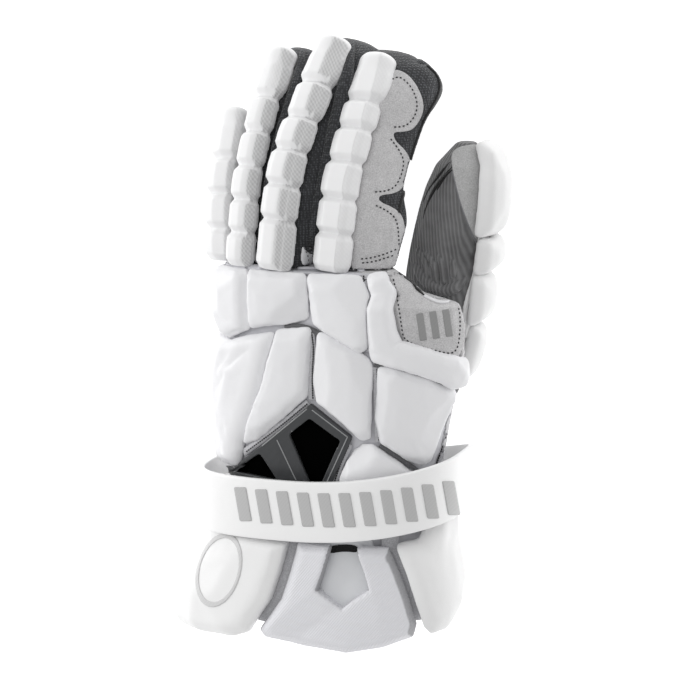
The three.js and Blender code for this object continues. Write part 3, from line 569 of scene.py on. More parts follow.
# The cuff frame's rubber, with painted shade on its sides
LILAC = textured_plastic("lilac_rubber", (0.77, 0.77, 0.80), 0.5, 0.0012, 0.00012, side_shade=0.5)
INNER = smooth_leather("inner_rubber", (0.74, 0.75, 0.77), 0.45)
GUNMETAL = textured_plastic("gunmetal", (0.055, 0.057, 0.060), 0.35, 0.004, 0.00001)
# Light grey for bands along the vent frame's ridges: painted highlights
GUNMETAL_HIGHLIGHT = textured_plastic("gunmetal_highlight", (0.30, 0.305, 0.31), 0.3, 0.004, 0.00001)
WEB_PRINT = textured_plastic("web_relief", (0.30, 0.30, 0.30), 0.6, 0.0015, 0.00002)
RING_GREY = textured_plastic("ring_relief", (0.66, 0.66, 0.66), 0.5, 0.0015, 0.00002)
# Black without any sheen, for the dark void behind the vent's windows: painted shade
VENT_SHADE_BLACK = shader("vent_shade_black", (0.001, 0.001, 0.001), 1.0, Specular_IOR_Level=0.0)[0]
# Black mesh, for the thumb's slits and for the painted shade in the cuff's window
BLACK = woven_mesh("black_mesh_and_painted_shade", (0.002, 0.002, 0.002), bright=1.5, roughness=0.95)
BINDING = woven_mesh("black_binding", (0.006, 0.006, 0.006), pitch=0.0006, bright=2.0)
# Dark cloth for the gaps between the pads: the grey fabric there, darkened with painted shade
GAP_CLOTH_AND_SHADE = woven_mesh("gap_cloth_and_shade", (0.10, 0.10, 0.105), bright=1.5)
THREAD_DARK = shader("dark_thread", (0.035, 0.035, 0.037), 0.8)[0]
THREAD_GREY = shader("grey_thread", (0.20, 0.20, 0.21), 0.8)[0]
PRINT_GREY = textured_plastic("strap_relief", (0.52, 0.52, 0.52), 0.5, 0.0015, 0.00002)


# Finger pads: one leather skin over the pads of a finger, parted again between them

WEB_RIM = 0.9 * MM
WEB_REACH = 1.2 * MM
PAD_STRETCH = 0.06
KNUCKLE_REACH = 6 * MM
KNUCKLE_DRAWN_DOWN = 2.2 * MM
TIP_ROUNDS = 50
TIP_REACH = 15 * MM
TIP_SWELL = 2.0 * MM
TIP_DRAWN_IN = 2.2 * MM
FINGER_LEATHER = {"index": INDEX_LEATHER, "middle": FACETED, "ring": FACETED, "little": LITTLE_LEATHER}

# How far the thumb's side of the pads is drawn in, and what the tip keeps of that
NARROWER = {"index": 3.8 * MM, "middle": 3.8 * MM, "ring": 4.0 * MM, "little": 0.6 * MM}
PAD_HALF_WIDTH = 8 * MM
TIP_KEPT = 0.6
BACKING_INSET = 1.2 * MM

# How far each pad of a finger leans to the thumb's side, in millimetres from the knuckle to the tip
LEAN = {
    "index": (-0.8, -1.6, -2.2, -0.5, 1.1, 2.6),
    "middle": (-0.5, -1.4, -2.0, -0.8, 1.6, 2.4),
    "ring": (-0.8, -0.5, -1.2, -0.6, 0, 0.8),
    "little": (-0.5, -1.0, -1.0, 0),
}


def pad_middle(node):
    points = [v.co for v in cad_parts[node].data.vertices]
    return sum(points, Vector()) / len(points)


def stretched_pad(node, ahead, stretch):
    """A pad's CAD form drawn out a little along its finger, which narrows the folds between the pads."""
    pad = cad_copy(node)
    middle = pad_middle(node)
    for vert in pad.verts:
        vert.co += ahead * (vert.co - middle).dot(ahead) * stretch
    return pad


def web_between(bm, first, second):
    """Joins two pads low down with leather, and gives the plane that parts them again."""
    ends = [[v.co.copy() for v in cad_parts[node].data.vertices] for node in (first, second)]
    ahead = (pad_middle(second) - pad_middle(first)).normalized()
    last = max(p.dot(ahead) for p in ends[0])
    start = min(p.dot(ahead) for p in ends[1])
    web = bmesh.new()
    for p in ends[0]:
        if p.dot(ahead) > last - WEB_RIM:
            web.verts.new(p - ahead * WEB_REACH)
    for p in ends[1]:
        if p.dot(ahead) < start + WEB_RIM:
            web.verts.new(p + ahead * WEB_REACH)
    hull = bmesh.ops.convex_hull(web, input=web.verts)
    bmesh.ops.delete(web, geom=[g for g in hull["geom_interior"] if isinstance(g, bmesh.types.BMVert)],
                     context="VERTS")
    add_form(bm, web)
    middle = (last + start) / 2
    return ahead * middle, ahead


def cut_away(bm, place, normal):
    """Keeps what lies behind a plane and closes the cut."""
    made = bmesh.ops.bisect_plane(bm, geom=bm.verts[:] + bm.edges[:] + bm.faces[:], plane_co=place,
                                  plane_no=normal, clear_outer=True)
    rim = [g for g in made["geom_cut"] if isinstance(g, bmesh.types.BMEdge)]
    if rim:
        bmesh.ops.holes_fill(bm, edges=rim, sides=0)


def shape_ends(skin, root_way, tip_way):
    """Draws the first pad down to the knuckles and rounds the last one."""
    root = min(vert.co.dot(root_way) for vert in skin.verts)
    for vert in skin.verts:
        share = 1 - min(1, (vert.co.dot(root_way) - root) / KNUCKLE_REACH)
        vert.co -= root_way * KNUCKLE_DRAWN_DOWN * share
    tip = max(vert.co.dot(tip_way) for vert in skin.verts)
    for k in range(TIP_ROUNDS):
        reach = TIP_REACH * (1 - 0.6 * k / TIP_ROUNDS)
        smooth(skin, [vert for vert in skin.verts if vert.co.dot(tip_way) > tip - reach])
    skin.normal_update()
    for vert in skin.verts:
        share = smooth_share((vert.co.dot(tip_way) - tip + TIP_REACH) / TIP_REACH)
        vert.co += (vert.normal * TIP_SWELL - tip_way * TIP_DRAWN_IN) * share


def narrow(skin, nodes, amount, lean):
    """Draws in the thumb's side of a finger's pads and leans their row, so that the cloth beside shows."""
    middles = [pad_middle(node) for node in nodes]
    last = len(middles) - 2
    for vert in skin.verts:
        k = 0
        while k < last and vert.co.y > middles[k + 1].y:
            k += 1
        a, b = middles[k], middles[k + 1]
        along = (vert.co.y - a.y) / (b.y - a.y)
        line = a.x + (b.x - a.x) * along
        kept = TIP_KEPT * smooth_share(2 * along - 0.6) if k == last else 0
        drawn_in = amount * (1 - kept) * smooth_share((vert.co.x - line) / PAD_HALF_WIDTH)
        shift = lean[k] + (lean[k + 1] - lean[k]) * smooth_share(along)
        vert.co.x += shift * MM - drawn_in


def pad_nodes(finger):
    return [f"{finger}_pad_{k}" for k in range(1, FINGERS[finger] + 1)]


def make_finger_pads(finger):
    nodes = pad_nodes(finger)
    end = len(nodes) - 1
    joined = bmesh.new()
    for k, node in enumerate(nodes):
        ahead = pad_middle(nodes[min(k + 1, end)]) - pad_middle(nodes[max(k - 1, 0)])
        add_form(joined, stretched_pad(node, ahead.normalized(), 0 if k == end else PAD_STRETCH))
    planes = [web_between(joined, a, b) for a, b in zip(nodes, nodes[1:])]
    skin = soft_mesh(joined, 0.55 * MM, 3, 0.3 * MM)
    shape_ends(skin, planes[0][1], planes[-1][1])
    narrow(skin, nodes, NARROWER[finger], LEAN[finger])
    for k, node in enumerate(nodes):
        pad = skin.copy()
        if k > 0:
            place, ahead = planes[k - 1]
            cut_away(pad, place, -ahead)
        if k < end:
            place, ahead = planes[k]
            cut_away(pad, place, ahead)
        finish_piece(to_object(pad, f"{node}_leather"), FINGER_LEATHER[finger], "pad_white", node, pad=0.8)
    skin.free()


def make_backing(finger):
    """The leather strip under a finger's pads, which shows as the bright line between them."""
    skin = soft_mesh(cad_copy(f"{finger}_backing"), 0.7 * MM, 2, 0.1 * MM)
    narrow(skin, pad_nodes(finger), NARROWER[finger] + BACKING_INSET, LEAN[finger])
    finish_piece(to_object(skin, f"{finger}_backing_leather"), WHITE, "pad_white", f"{finger}_backing")


# Cloth of the hand, fingers and thumb

# How much fuller a finger's cloth is at its tip, and how far it stands out at the sides
TIP_FULLNESS = {"index": 5.5 * MM, "middle": 4.2 * MM, "ring": 4.2 * MM, "little": 2.5 * MM}
TIP_SIDE = {"middle": 10.5 * MM, "ring": 4 * MM}
ROOT_SIDE = {"index": 7.5 * MM}
ROOT_INNER = {"index": 6 * MM}

# Where that starts, back from the fingertip, over what length it grows, and its reach from the root
FULL_FROM, FULL_OVER = 34 * MM, 20 * MM
SIDE_FROM, SIDE_OVER = 26 * MM, 18 * MM
ROOT_REACH = 46 * MM


def make_soft_copy(node, name, material, slot, voxel, rounds, swell):
    """A CAD form with its edges softened and its faces a little fuller."""
    finish_piece(to_object(soft_mesh(cad_copy(node), voxel, rounds, swell), name), material, slot, node)


def make_sleeve(finger):
    """Finger cloth, full enough at the tip to stand out beyond the pads."""
    skin = soft_mesh(cad_copy(f"{finger}_sleeve"), 1.0 * MM, 5, 0.3 * MM)
    tip = max(vert.co.y for vert in skin.verts)
    root = min(vert.co.y for vert in skin.verts)
    for vert in skin.verts:
        full = smooth_share((vert.co.y - tip + FULL_FROM) / FULL_OVER)
        end = smooth_share((vert.co.y - tip + SIDE_FROM) / SIDE_OVER)
        low = smooth_share((root + ROOT_REACH - vert.co.y) / (0.5 * ROOT_REACH))
        outward = max(0, vert.normal.x)
        inward = min(0, vert.normal.x)
        vert.co += vert.normal * TIP_FULLNESS[finger] * full
        vert.co.x += outward * (TIP_SIDE.get(finger, 0) * end + ROOT_SIDE.get(finger, 0) * low)
        vert.co.x += inward * ROOT_INNER.get(finger, 0) * low
    smooth(skin, skin.verts, 4)
    finish_piece(to_object(skin, f"{finger}_sleeve_mesh"), MESH, "mesh", f"{finger}_sleeve")


# Pads on the back of the hand

# The lines in the photograph where their facets fold down, and by how many degrees
FACETS = {
    "knuckle_pad_2": [((282, 328), (282, 276), 20)],
    "knuckle_pad_3": [((342, 338), (341, 276), 20)],
    "hand_pad_2": [((300, 398), (302, 337), 20)],
    "hand_pad_3": [((332, 366), (332, 402), 20), ((371, 388), (331, 366), 13)],
    "hand_pad_4": [((389, 372), (389, 442), 20), ((425, 464), (388, 442), 6)],
    "hand_pad_5": [((345, 480), (354, 446), 16)],
}
HAND_PADS = ("knuckle_pad_1", "knuckle_pad_2", "knuckle_pad_3", "knuckle_pad_4",
             "hand_pad_1", "hand_pad_2", "hand_pad_3", "hand_pad_4", "hand_pad_5")
OUTER_PAD = "hand_pad_1"
OUTER_PAD_PUSH = 2.6 * MM
KNUCKLE_PAD_PUSH = 1.6 * MM
PAD_HEIGHT = 7 * MM
PAD_RISE = 0.4 * MM
SIDE_LOW = 0.5 * MM
SIDE_HIGH = 2.7 * MM
PUCKER = 0.35 * MM
PUCKER_SCALE = 230


def facet(bm, surface, start, end, tilt):
    """Shaves a pad on the right of a line, by a plane tilted down from the line."""
    middle = ((start[0] + end[0]) / 2, (start[1] + end[1]) / 2)
    place, facing = land(middle, surface)
    along = (land(end, surface)[0] - land(start, surface)[0]).normalized()
    facing = (facing - along * facing.dot(along)).normalized()
    cut_away(bm, place, Matrix.Rotation(math.radians(tilt), 3, along) @ facing)


def puff_sides(skin, base):
    """Pushes a pad's sides out, most at its top, so that its leather folds over its neighbours' gaps."""
    facing = sum((v.normal for v in skin.verts if v.normal.dot(view_back) > 0.6), Vector()).normalized()
    for vert in skin.verts:
        up = facing * vert.normal.dot(facing)
        above = base.find_nearest(vert.co)[3] / PAD_HEIGHT
        share = min(1, max(0, above))
        vert.co += (vert.normal - up) * (SIDE_LOW + (SIDE_HIGH - SIDE_LOW) * share) + up * PAD_RISE
        pucker = space_noise.noise(vert.co * PUCKER_SCALE) * PUCKER * (vert.normal - up).length
        vert.co += vert.normal * pucker


def make_hand_pad(node, shell):
    bm = cad_copy(node)
    surface = cad_surface(node)
    for start, end, tilt in FACETS.get(node, []):
        facet(bm, surface, start, end, tilt)
    skin = soft_mesh(bm, 0.7 * MM, 16 if node == OUTER_PAD else 2)
    puff_sides(skin, shell)
    if node == OUTER_PAD:
        push(skin, Vector((-1, 0, 0)), OUTER_PAD_PUSH)
    if node.startswith("knuckle"):
        for vert in skin.verts:
            vert.co.y += KNUCKLE_PAD_PUSH * max(0, vert.normal.y - 0.3)
    smooth(skin, skin.verts, 2)
    finish_piece(to_object(skin, f"{node}_leather"), WHITE, "pad_white", node, pad=0.8)


# Thumb pads, with the width that each keeps, from the tip to the palm

THUMB_PADS = {1: 1.0, 2: 0.97, 3: 0.84, 4: 0.78}
PALM_END = Vector((-3.5, -9, -1)) * MM


def make_thumb_pad(number):
    """A smooth pad on the outer side of the thumb, the last one running down to the palm."""
    skin = soft_mesh(cad_copy(f"thumb_pad_{number}"), 0.8 * MM, 30, 1.3 * MM)
    inner = min(vert.co.x for vert in skin.verts)
    for vert in skin.verts:
        vert.co.x = inner + (vert.co.x - inner) * THUMB_PADS[number]
    if number == len(THUMB_PADS):
        top = max(vert.co.y for vert in skin.verts)
        low = min(vert.co.y for vert in skin.verts)
        for vert in skin.verts:
            share = (top - vert.co.y) / (top - low)
            vert.co += PALM_END * share * share
    finish_piece(to_object(skin, f"thumb_pad_{number}_leather"), THUMB_WHITE, "pad_white",
                 f"thumb_pad_{number}", pad=0.8)


# Cuff and strap

# Each flap's outer side, and how far it is pushed out that way
FLAPS = {"flap_left": (-1, 4.4 * MM), "flap_right": (1, 1.4 * MM)}
FLAP_DRAWN_IN = 3.6 * MM
CUFF_MIDDLE = (341, 630)
CUFF_FOLDS = [((262, 633), (309, 594)), ((372, 595), (414, 625))]
CUFF_SLOPE = 0.16
CUFF_DROP = 2.4 * MM
STRAP_WIDEN = 1.03


def make_flap(node, outer_way, amount):
    """A padded cuff flap, fuller on its outer side and drawn in on its inner one."""
    skin = soft_mesh(cad_copy(node), 1.1 * MM, 8, 1.4 * MM)
    push(skin, Vector((outer_way, 0, 0)), amount)
    push(skin, Vector((-outer_way, 0, 0)), -FLAP_DRAWN_IN)
    smooth(skin, skin.verts, 3)
    finish_piece(to_object(skin, f"{node}_leather"), FLAP_WHITE, "pad_white", node, pad=0.7)


def make_cuff_frame():
    """The moulded middle of the cuff, its lower half folded down from two ridges."""
    surface = cad_surface("cuff_frame")
    skin = soft_mesh(cad_copy("cuff_frame"), 0.8 * MM, 2, 0.7 * MM)
    middle, facing = land(CUFF_MIDDLE, surface)
    for start, end in CUFF_FOLDS:
        a, b = land(start, surface)[0], land(end, surface)[0]
        side = (b - a).normalized().cross(facing).normalized()
        if side.dot(middle - a) < 0:
            side = -side
        for vert in skin.verts:
            below = (vert.co - a).dot(side)
            if below > 0:
                vert.co -= facing * min(CUFF_DROP, CUFF_SLOPE * below)
    smooth(skin, skin.verts, 2)
    finish_piece(to_object(skin, "cuff_frame_rubber"), LILAC, "moulded", "cuff_frame")


def make_strap():
    bm = cad_copy("strap")
    bmesh.ops.join_triangles(bm, faces=bm.faces, angle_face_threshold=0.6, angle_shape_threshold=3.1)
    piece = to_object(bm, "strap_band")
    bevel = piece.modifiers.new("edge", "BEVEL")
    bevel.width = 1.0 * MM
    bevel.segments = 2
    bevel.limit_method = "ANGLE"
    bevel.angle_limit = math.radians(50)
    rounding = piece.modifiers.new("round", "SUBSURF")
    rounding.levels = rounding.render_levels = 2
    apply_modifiers(piece)
    middle = sum(corner[0] for corner in piece.bound_box) / 8
    for vert in piece.data.vertices:
        vert.co.x = middle + (vert.co.x - middle) * STRAP_WIDEN
    finish_piece(piece, STRAP_WHITE, "moulded", "strap")


# Suede between index finger and thumb, traced in the photograph

OVERLAY = [
    (393, 71), (398, 70), (405, 73), (412, 79), (419, 90), (423, 101), (423, 111), (419, 121), (412, 130),
    (403, 132), (395, 132), (393, 135), (396, 142), (404, 149), (409.5, 158), (409.5, 166), (406, 179),
    (401, 190), (392, 194), (381, 195), (378, 199), (382, 203), (392, 207), (400, 213), (404, 222),
    (405, 240), (405, 256), (402, 267), (385, 273), (350, 274), (349, 240), (357, 180), (369, 125),
    (381, 90),
]
OVERLAY_STITCH = [
    [(391, 80), (398, 76), (405, 80), (412, 88), (417, 100), (417, 111), (412, 121), (404, 127), (393, 127)],
    [(390, 138), (397, 147), (402, 155), (404, 163), (401, 176), (396, 186), (388, 191), (374, 192)],
    [(375, 205), (386, 210), (395, 217), (398, 226), (399, 246)],
    [(360, 259), (372, 258), (388, 253), (401, 247)],
    [(361, 263), (373, 262), (389, 257), (402, 252)],
]
WEB = [
    (386, 272), (391, 263), (397, 255), (402, 255), (404, 266), (411, 280), (420, 291), (429, 298),
    (440, 301), (451, 299), (458, 296), (462, 306), (464, 324), (463.5, 345), (460, 356), (452, 359),
    (430, 353), (403, 349), (396, 341), (390, 307),
]
WEB_STITCH = [[
    (393, 278), (396, 290), (399, 308), (402, 330), (404, 340), (420, 346.5), (445, 353), (453, 353.5),
    (458, 348), (460, 330), (460, 312), (456.5, 303),
]]
WEB_BARS = [(421, 327), (434, 325), (447, 323)]
WEB_BAR = [(-5, -13), (2, -14), (6, 13), (-1, 14)]


def make_suede(outline, surface, name, node, stitches, lift):
    sheet = to_object(patch_mesh(outline, surface, lift, 1.2 * MM), name)
    finish_piece(sheet, SUEDE, "suede", node)
    rows = bmesh.new()
    for line in stitches:
        stitch_mesh(rows, line, surface_of(sheet))
    finish_piece(to_object(rows, f"{name}_stitches"), THREAD_DARK, "suede")


def make_web_bars():
    bars = joined_bars(WEB_BARS, WEB_BAR, surface_of(*pieces("web_suede")), 0.2 * MM, 0.4 * MM, 1)
    finish_piece(to_object(bars, "web_bars"), WEB_PRINT, "suede")


# Vent, seams and gaps on the back of the hand, traced in the photograph

VENT = [(312, 402.5), (353.5, 436), (331, 487), (281, 486), (232, 471)]
VENT_WINDOWS = [
    [(311.3, 416.5), (342, 439), (322, 484), (312.5, 484), (291, 433)],
    [(263, 451.5), (237, 469.5), (281, 479)],
]
VENT_BACK = [(313, 406), (351, 438), (330, 485), (282, 484), (236, 470)]
# Lines along the vent frame's ridges, laid as light bands: painted highlights
VENT_HIGHLIGHTS = [
    [(312, 410), (347.5, 437), (327, 482)],
    [(292, 431), (314, 482)],
    [(277, 440), (296, 480)],
    [(262, 446), (307, 409)],
]
GAP_STRIPS = [
    [(363.5, 273), (364, 300), (367, 330), (371, 351)],
    [(377, 366), (378, 400), (379, 441)],
    [(350, 443), (341, 462), (334, 484)],
    [(309.5, 402), (281, 426), (246, 452)],
    [(461.5, 391), (449, 428), (436, 466)],
    [(311, 329), (314, 348), (312, 375), (313, 399)],
]
# Lines of dark cloth in the gaps between the pads, darker than the fabric there: partly painted shade
DARK_GAPS = [
    [(286, 327), (300, 325), (312, 328), (335, 342), (363, 356)],
    [(375, 364), (392, 366), (425, 378), (455, 389)],
    [(380, 444), (400, 458), (424, 475)],
]


def make_vent():
    shell = cad_surface("back_shell")
    # Painted shade: a black sheet behind the windows for the dark void seen through them
    back = patch_mesh(VENT_BACK, shell, 0.9 * MM, 0.4 * MM, corner=3)
    finish_piece(to_object(back, "vent_back"), VENT_SHADE_BLACK, "gunmetal")
    rim = to_object(patch_mesh(VENT, shell, 3.4 * MM, 2.6 * MM, VENT_WINDOWS, step=0.8, corner=2.5),
                    "vent_frame_plastic")
    finish_piece(rim, GUNMETAL, "gunmetal", "vent_frame")
    # Painted highlights: light bands along the frame's ridges
    ridges = joined_bands(VENT_HIGHLIGHTS, surface_of(rim), 0.6 * MM, 0.15 * MM, 0.5 * MM, rounds=0)
    finish_piece(to_object(ridges, "vent_highlights"), GUNMETAL_HIGHLIGHT, "gunmetal")


def make_gap_strips():
    shell = surface_of(*pieces("back_shell_cloth"))
    strips, threads = bmesh.new(), bmesh.new()
    for line in GAP_STRIPS:
        strip = to_object(ribbon_mesh(line, shell, 4.0 * MM, 1.9 * MM, 1.2 * MM), "strip")
        strips.from_mesh(strip.data)
        stitch_mesh(threads, line, surface_of(strip), pitch=2.4)
        bpy.data.objects.remove(strip)
    finish_piece(to_object(strips, "seam_strips"), STRIP, "pad_white")
    finish_piece(to_object(threads, "seam_strip_stitches"), THREAD_DARK, "pad_white")


def make_dark_gaps():
    # Partly painted shade: dark cloth bands along the gaps between the pads
    lines = joined_bands(DARK_GAPS, surface_of(*pieces("back_shell_cloth")), 2.6 * MM, 2.2 * MM, 1.0 * MM)
    finish_piece(to_object(lines, "gap_cloth_and_shade"), GAP_CLOTH_AND_SHADE, "mesh")


# Leather, cloth and edges at the roots of the fingers, traced in the photograph

KNUCKLE_SEAM = [(221, 267), (240, 269), (262, 269.5), (310, 269), (356, 271), (364, 272)]
FINGER_ROOTS = [
    [(301, 243), (306, 251), (312, 254), (318, 251), (322, 243), (324, 268), (299, 268)],
    [(255, 248), (258, 254), (262, 248), (263, 268), (254, 268)],
    [(224, 250), (227, 255), (229, 250), (230, 268), (223, 268)],
]
ROOT_STITCH = [
    [(303, 246), (307, 256), (307, 266)],
    [(308, 246), (312, 256), (312, 266)],
]
BINDING_LINES = [
    [(427, 66), (437, 75), (440, 86), (437, 97), (430, 109), (423, 121), (418, 135), (413, 149), (410, 160)],
    [(405, 188), (401, 200), (399, 213)],
]
CROTCH_BLACK = [(408, 277), (413, 284), (418, 290), (424, 295.5)]
CROTCH_PIPING = [(424, 296), (433, 300.5), (441, 303), (449, 302), (457, 298.5)]

# Rolls of cloth between the fingers, with their radius in millimetres
MESH_ROLLS = {
    "ring_middle": ([(302, 54), (301, 70), (293, 100), (283, 130), (274, 170), (268, 200), (264, 224)], 4.8),
    "middle_index": ([(352, 46), (350, 60), (344, 90), (333, 135), (322, 185), (314, 220), (311, 244)], 5.0),
    "little_ring": ([(240, 112), (240, 130), (235, 165), (233, 200), (230, 228)], 3.0),
}


def sleeve_pieces():
    return pieces(*[f"{finger}_sleeve_mesh" for finger in FINGERS])


def make_root_leather():
    tree = surface_of(*pieces("knuckle_gusset_mesh", "back_shell_cloth"), *sleeve_pieces())
    seam = ribbon_mesh(KNUCKLE_SEAM, tree, 4.6 * MM, 1.4 * MM, 1.2 * MM)
    finish_piece(to_object(seam, "knuckle_seam"), BED, "pad_white")
    for k, outline in enumerate(FINGER_ROOTS, 1):
        sheet = patch_mesh(outline, tree, 1.0 * MM, 1.0 * MM)
        smooth(sheet, sheet.verts, 8)
        finish_piece(to_object(sheet, f"finger_root_{k}"), WHITE, "pad_white")
    rows = bmesh.new()
    for line in ROOT_STITCH:
        stitch_mesh(rows, line, tree, lift=1.0)
    finish_piece(to_object(rows, "finger_root_stitches"), THREAD_GREY, "pad_white")


def make_mesh_rolls():
    tree = surface_of(*sleeve_pieces())
    for name, (line, radius) in MESH_ROLLS.items():
        finish_piece(to_object(roll_mesh(line, tree, radius * MM, 1.0 * MM), f"{name}_roll"), MESH, "mesh")


def make_bindings():
    cloth = surface_of(*pieces("index_sleeve_mesh"))
    edge = joined_bands(BINDING_LINES, cloth, 1.8 * MM, 0.9 * MM, 1.4 * MM)
    finish_piece(to_object(edge, "index_binding"), BINDING, "mesh")
    web = surface_of(*pieces("web_suede"))
    dark = ribbon_mesh(CROTCH_BLACK, web, 2.4 * MM, 0.6 * MM, 0.8 * MM, taper=True)
    finish_piece(to_object(dark, "crotch_edge"), BINDING, "suede")
    piping = ribbon_mesh(CROTCH_PIPING, web, 1.8 * MM, 0.9 * MM, 1.0 * MM)
    finish_piece(to_object(piping, "crotch_piping"), WHITE, "suede")


# Folds, suede cap, seam and slits of the thumb, traced in the photograph

THUMB_CAP = [
    (451, 154), (457.6, 148), (466, 145.5), (476.5, 144.6), (480, 150), (484, 182), (488.5, 213),
    (488, 232), (480, 252), (466, 221), (459, 199), (456, 185), (452.5, 169),
]
THUMB_SEAM = [(452.5, 171), (456, 187), (459.5, 200), (466.5, 222), (478.5, 248)]
THUMB_SIDE = [(479, 258), (474, 280), (467, 303), (465, 330), (464, 362)]
THUMB_FOLD = [(414, 262), (420, 276), (431, 287), (445, 292), (458, 287), (467, 277)]
THUMB_WRINKLES = [
    [(415, 246), (424, 258), (428, 272), (427, 282)],
    [(423, 250), (433, 262), (437, 275), (436, 286)],
    [(437, 254), (443, 266), (444, 278), (441, 288)],
    [(452, 258), (454, 269), (452, 280)],
]
SLITS = [
    [(449.8, 161.9), (438.6, 175.7), (428.3, 188.6), (423, 202.4)],
    [(452, 167), (440.3, 180), (431.7, 193.8), (425.9, 205.9), (423, 218.8)],
    [(452.4, 169.7), (443.8, 176.6), (437, 190.3)],
]


def make_thumb_trim():
    tree = surface_of(*pieces("thumb_sleeve_cloth"))
    cap = patch_mesh(THUMB_CAP, tree, 0.4 * MM, 1.0 * MM)
    finish_piece(to_object(cap, "thumb_cap"), THUMB_SUEDE, "ribbed")
    seam = ribbon_mesh(THUMB_SEAM, tree, 0.6 * MM, 0.5 * MM, 0.5 * MM)
    finish_piece(to_object(seam, "thumb_seam"), THREAD_GREY, "ribbed")
    slits = joined_bands(SLITS, tree, 1.9 * MM, 0.15 * MM, 0.4 * MM, taper=True)
    finish_piece(to_object(slits, "thumb_slits"), BLACK, "ribbed")


def make_thumb_folds():
    tree = surface_of(*pieces("thumb_sleeve_cloth"))
    side = ribbon_mesh(THUMB_SIDE, tree, 7.0 * MM, 0.9 * MM, 1.0 * MM)
    finish_piece(to_object(side, "thumb_side_leather"), THUMB_WHITE, "pad_white")
    fold = roll_mesh(THUMB_FOLD, tree, 3.8 * MM, -1.2 * MM)
    finish_piece(to_object(fold, "thumb_fold"), RIBBED, "ribbed")
    for k, line in enumerate(THUMB_WRINKLES, 1):
        roll = roll_mesh(line, tree, 1.9 * MM, -0.3 * MM, 0.3)
        finish_piece(to_object(roll, f"thumb_wrinkle_{k}"), RIBBED, "ribbed")


# Plain bars on the strap, plain ring on the flap and a black patch of painted shade in the cuff's window

STRAP_BARS = 11
BARS_FROM, BARS_TO = 238, 446
BARS_TOP, BARS_SAG, BARS_RISE = 504, 9, 6
STRAP_BAR = [(-4, -17), (8, -17), (14, 17), (2, 17)]
RING_MIDDLE = (219, 570)
RING_HALF = (22, 38)
RING_TURN = math.radians(15)
RING_HOLE = 0.86
RING_POINTS = 28
# Outline of the black patch of painted shade at the top of the cuff's window
WINDOW_SHADE = [(329, 545), (357, 544), (359, 553), (345, 551), (327, 554)]


def make_strap_bars():
    places = []
    for k in range(STRAP_BARS):
        share = k / (STRAP_BARS - 1)
        sag = BARS_SAG * math.sin(math.pi * share) - BARS_RISE * share
        places.append((BARS_FROM + (BARS_TO - BARS_FROM) * share, BARS_TOP + sag))
    bars = joined_bars(places, STRAP_BAR, surface_of(*pieces("strap_band")), 0.35 * MM, 0.6 * MM, 1.5)
    finish_piece(to_object(bars, "strap_bars"), PRINT_GREY, "moulded")


def make_window_shade():
    # Painted shade: a black patch on the inner pad at the top of the window, under the strap
    inner = surface_of(*pieces("cuff_inner_rubber"))
    shade = patch_mesh(WINDOW_SHADE, inner, 0.4 * MM, 0.4 * MM, step=0.8)
    finish_piece(to_object(shade, "window_shade"), BLACK, "moulded")


def oval(size):
    """The ring's outline in the photograph, at a share of its size."""
    points = []
    for k in range(RING_POINTS):
        a = 2 * math.pi * k / RING_POINTS
        x, y = RING_HALF[0] * size * math.cos(a), RING_HALF[1] * size * math.sin(a)
        points.append((RING_MIDDLE[0] + x * math.cos(RING_TURN) - y * math.sin(RING_TURN),
                       RING_MIDDLE[1] + x * math.sin(RING_TURN) + y * math.cos(RING_TURN)))
    return points


def make_flap_ring():
    tree = surface_of(*pieces("flap_left_leather"))
    sheet = patch_mesh(oval(1.0), tree, 0.3 * MM, 0.6 * MM, holes=[oval(RING_HOLE)], corner=1, step=0.8)
    finish_piece(to_object(sheet, "flap_ring"), RING_GREY, "pad_white")


def make_trim():
    sleeve = surface_of(*pieces("index_sleeve_mesh", "knuckle_gusset_mesh", "back_shell_cloth"))
    make_suede(OVERLAY, sleeve, "index_suede", "index_overlay", OVERLAY_STITCH, 0.35 * MM)
    base = surface_of(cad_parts["web_patch"],
                      *pieces("back_shell_cloth", "knuckle_gusset_mesh", "index_sleeve_mesh"))
    make_suede(WEB, base, "web_suede", "web_patch", WEB_STITCH, 0.8 * MM)
    make_vent()
    make_gap_strips()
    make_strap_bars()
    make_window_shade()
    make_flap_ring()
    make_thumb_trim()
    make_root_leather()
    make_mesh_rolls()
    make_thumb_folds()
    make_bindings()
    make_dark_gaps()
    make_web_bars()


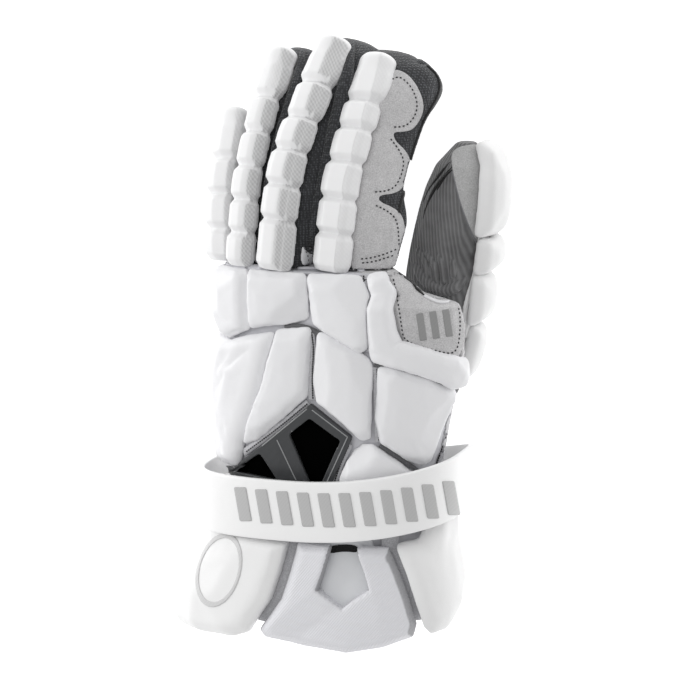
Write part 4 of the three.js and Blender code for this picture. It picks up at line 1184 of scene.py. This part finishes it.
make_camera()
for finger in FINGERS:
    make_finger_pads(finger)
    make_backing(finger)
    make_sleeve(finger)
make_soft_copy("thumb_sleeve", "thumb_sleeve_cloth", RIBBED, "ribbed", 1.0 * MM, 5, 0.3 * MM)
make_soft_copy("palm", "palm_leather_side", PALM, "leather", 1.1 * MM, 4, 0.2 * MM)
make_soft_copy("back_shell", "back_shell_cloth", BED, "mesh", 1.1 * MM, 4, 0.2 * MM)
make_soft_copy("knuckle_gusset", "knuckle_gusset_mesh", BED, "mesh", 0.9 * MM, 3, 0.2 * MM)
shell_surface = cad_surface("back_shell")
for node in HAND_PADS:
    make_hand_pad(node, shell_surface)
for node, (outer_way, amount) in FLAPS.items():
    make_flap(node, outer_way, amount)
make_cuff_frame()
make_soft_copy("cuff_inner_pad", "cuff_inner_rubber", INNER, "moulded", 0.9 * MM, 6, 0.4 * MM)
for node in ("cuff_gusset_left", "cuff_gusset_right"):
    make_soft_copy(node, f"{node}_cloth", STRIP, "mesh", 0.5 * MM, 2, 0.1 * MM)
for number in THUMB_PADS:
    make_thumb_pad(number)
make_soft_copy("thumb_backing", "thumb_backing_leather", THUMB_WHITE, "pad_white", 0.5 * MM, 2, 0.1 * MM)
make_strap()
make_trim()


# Floor and light

def make_floor():
    bm = bmesh.new()
    bmesh.ops.create_grid(bm, x_segments=1, y_segments=1, size=3)
    floor = to_object(bm, "floor")
    material = bpy.data.materials.new("pale_floor")
    material.use_nodes = True
    bsdf = material.node_tree.nodes["Principled BSDF"]
    bsdf.inputs["Base Color"].default_value = (0.93, 0.93, 0.93, 1)
    bsdf.inputs["Roughness"].default_value = 0.9
    bsdf.inputs["Emission Color"].default_value = (1, 1, 1, 1)
    bsdf.inputs["Emission Strength"].default_value = 0.85
    floor.data.materials.append(material)


def area_light(name, place, size, power, aim=Vector((0, 0, 0.03))):
    data = bpy.data.lights.new(name, "AREA")
    data.shape = "DISK"
    data.size = size
    data.energy = power
    light = bpy.data.objects.new(name, data)
    light.location = place
    light.rotation_euler = (aim - Vector(place)).to_track_quat("-Z", "Y").to_euler()
    bpy.context.scene.collection.objects.link(light)


def make_light():
    world = bpy.data.worlds.new("studio")
    bpy.context.scene.world = world
    world.use_nodes = True
    world.node_tree.nodes["Background"].inputs["Color"].default_value = (1, 1, 1, 1)
    world.node_tree.nodes["Background"].inputs["Strength"].default_value = 0.66
    area_light("key", (-1.25, 0.2, 0.6), 0.5, 6.5)
    area_light("top", (-0.2, 0.9, 1.5), 1.0, 4)
    bpy.context.scene.view_settings.view_transform = "Standard"


make_floor()
make_light()
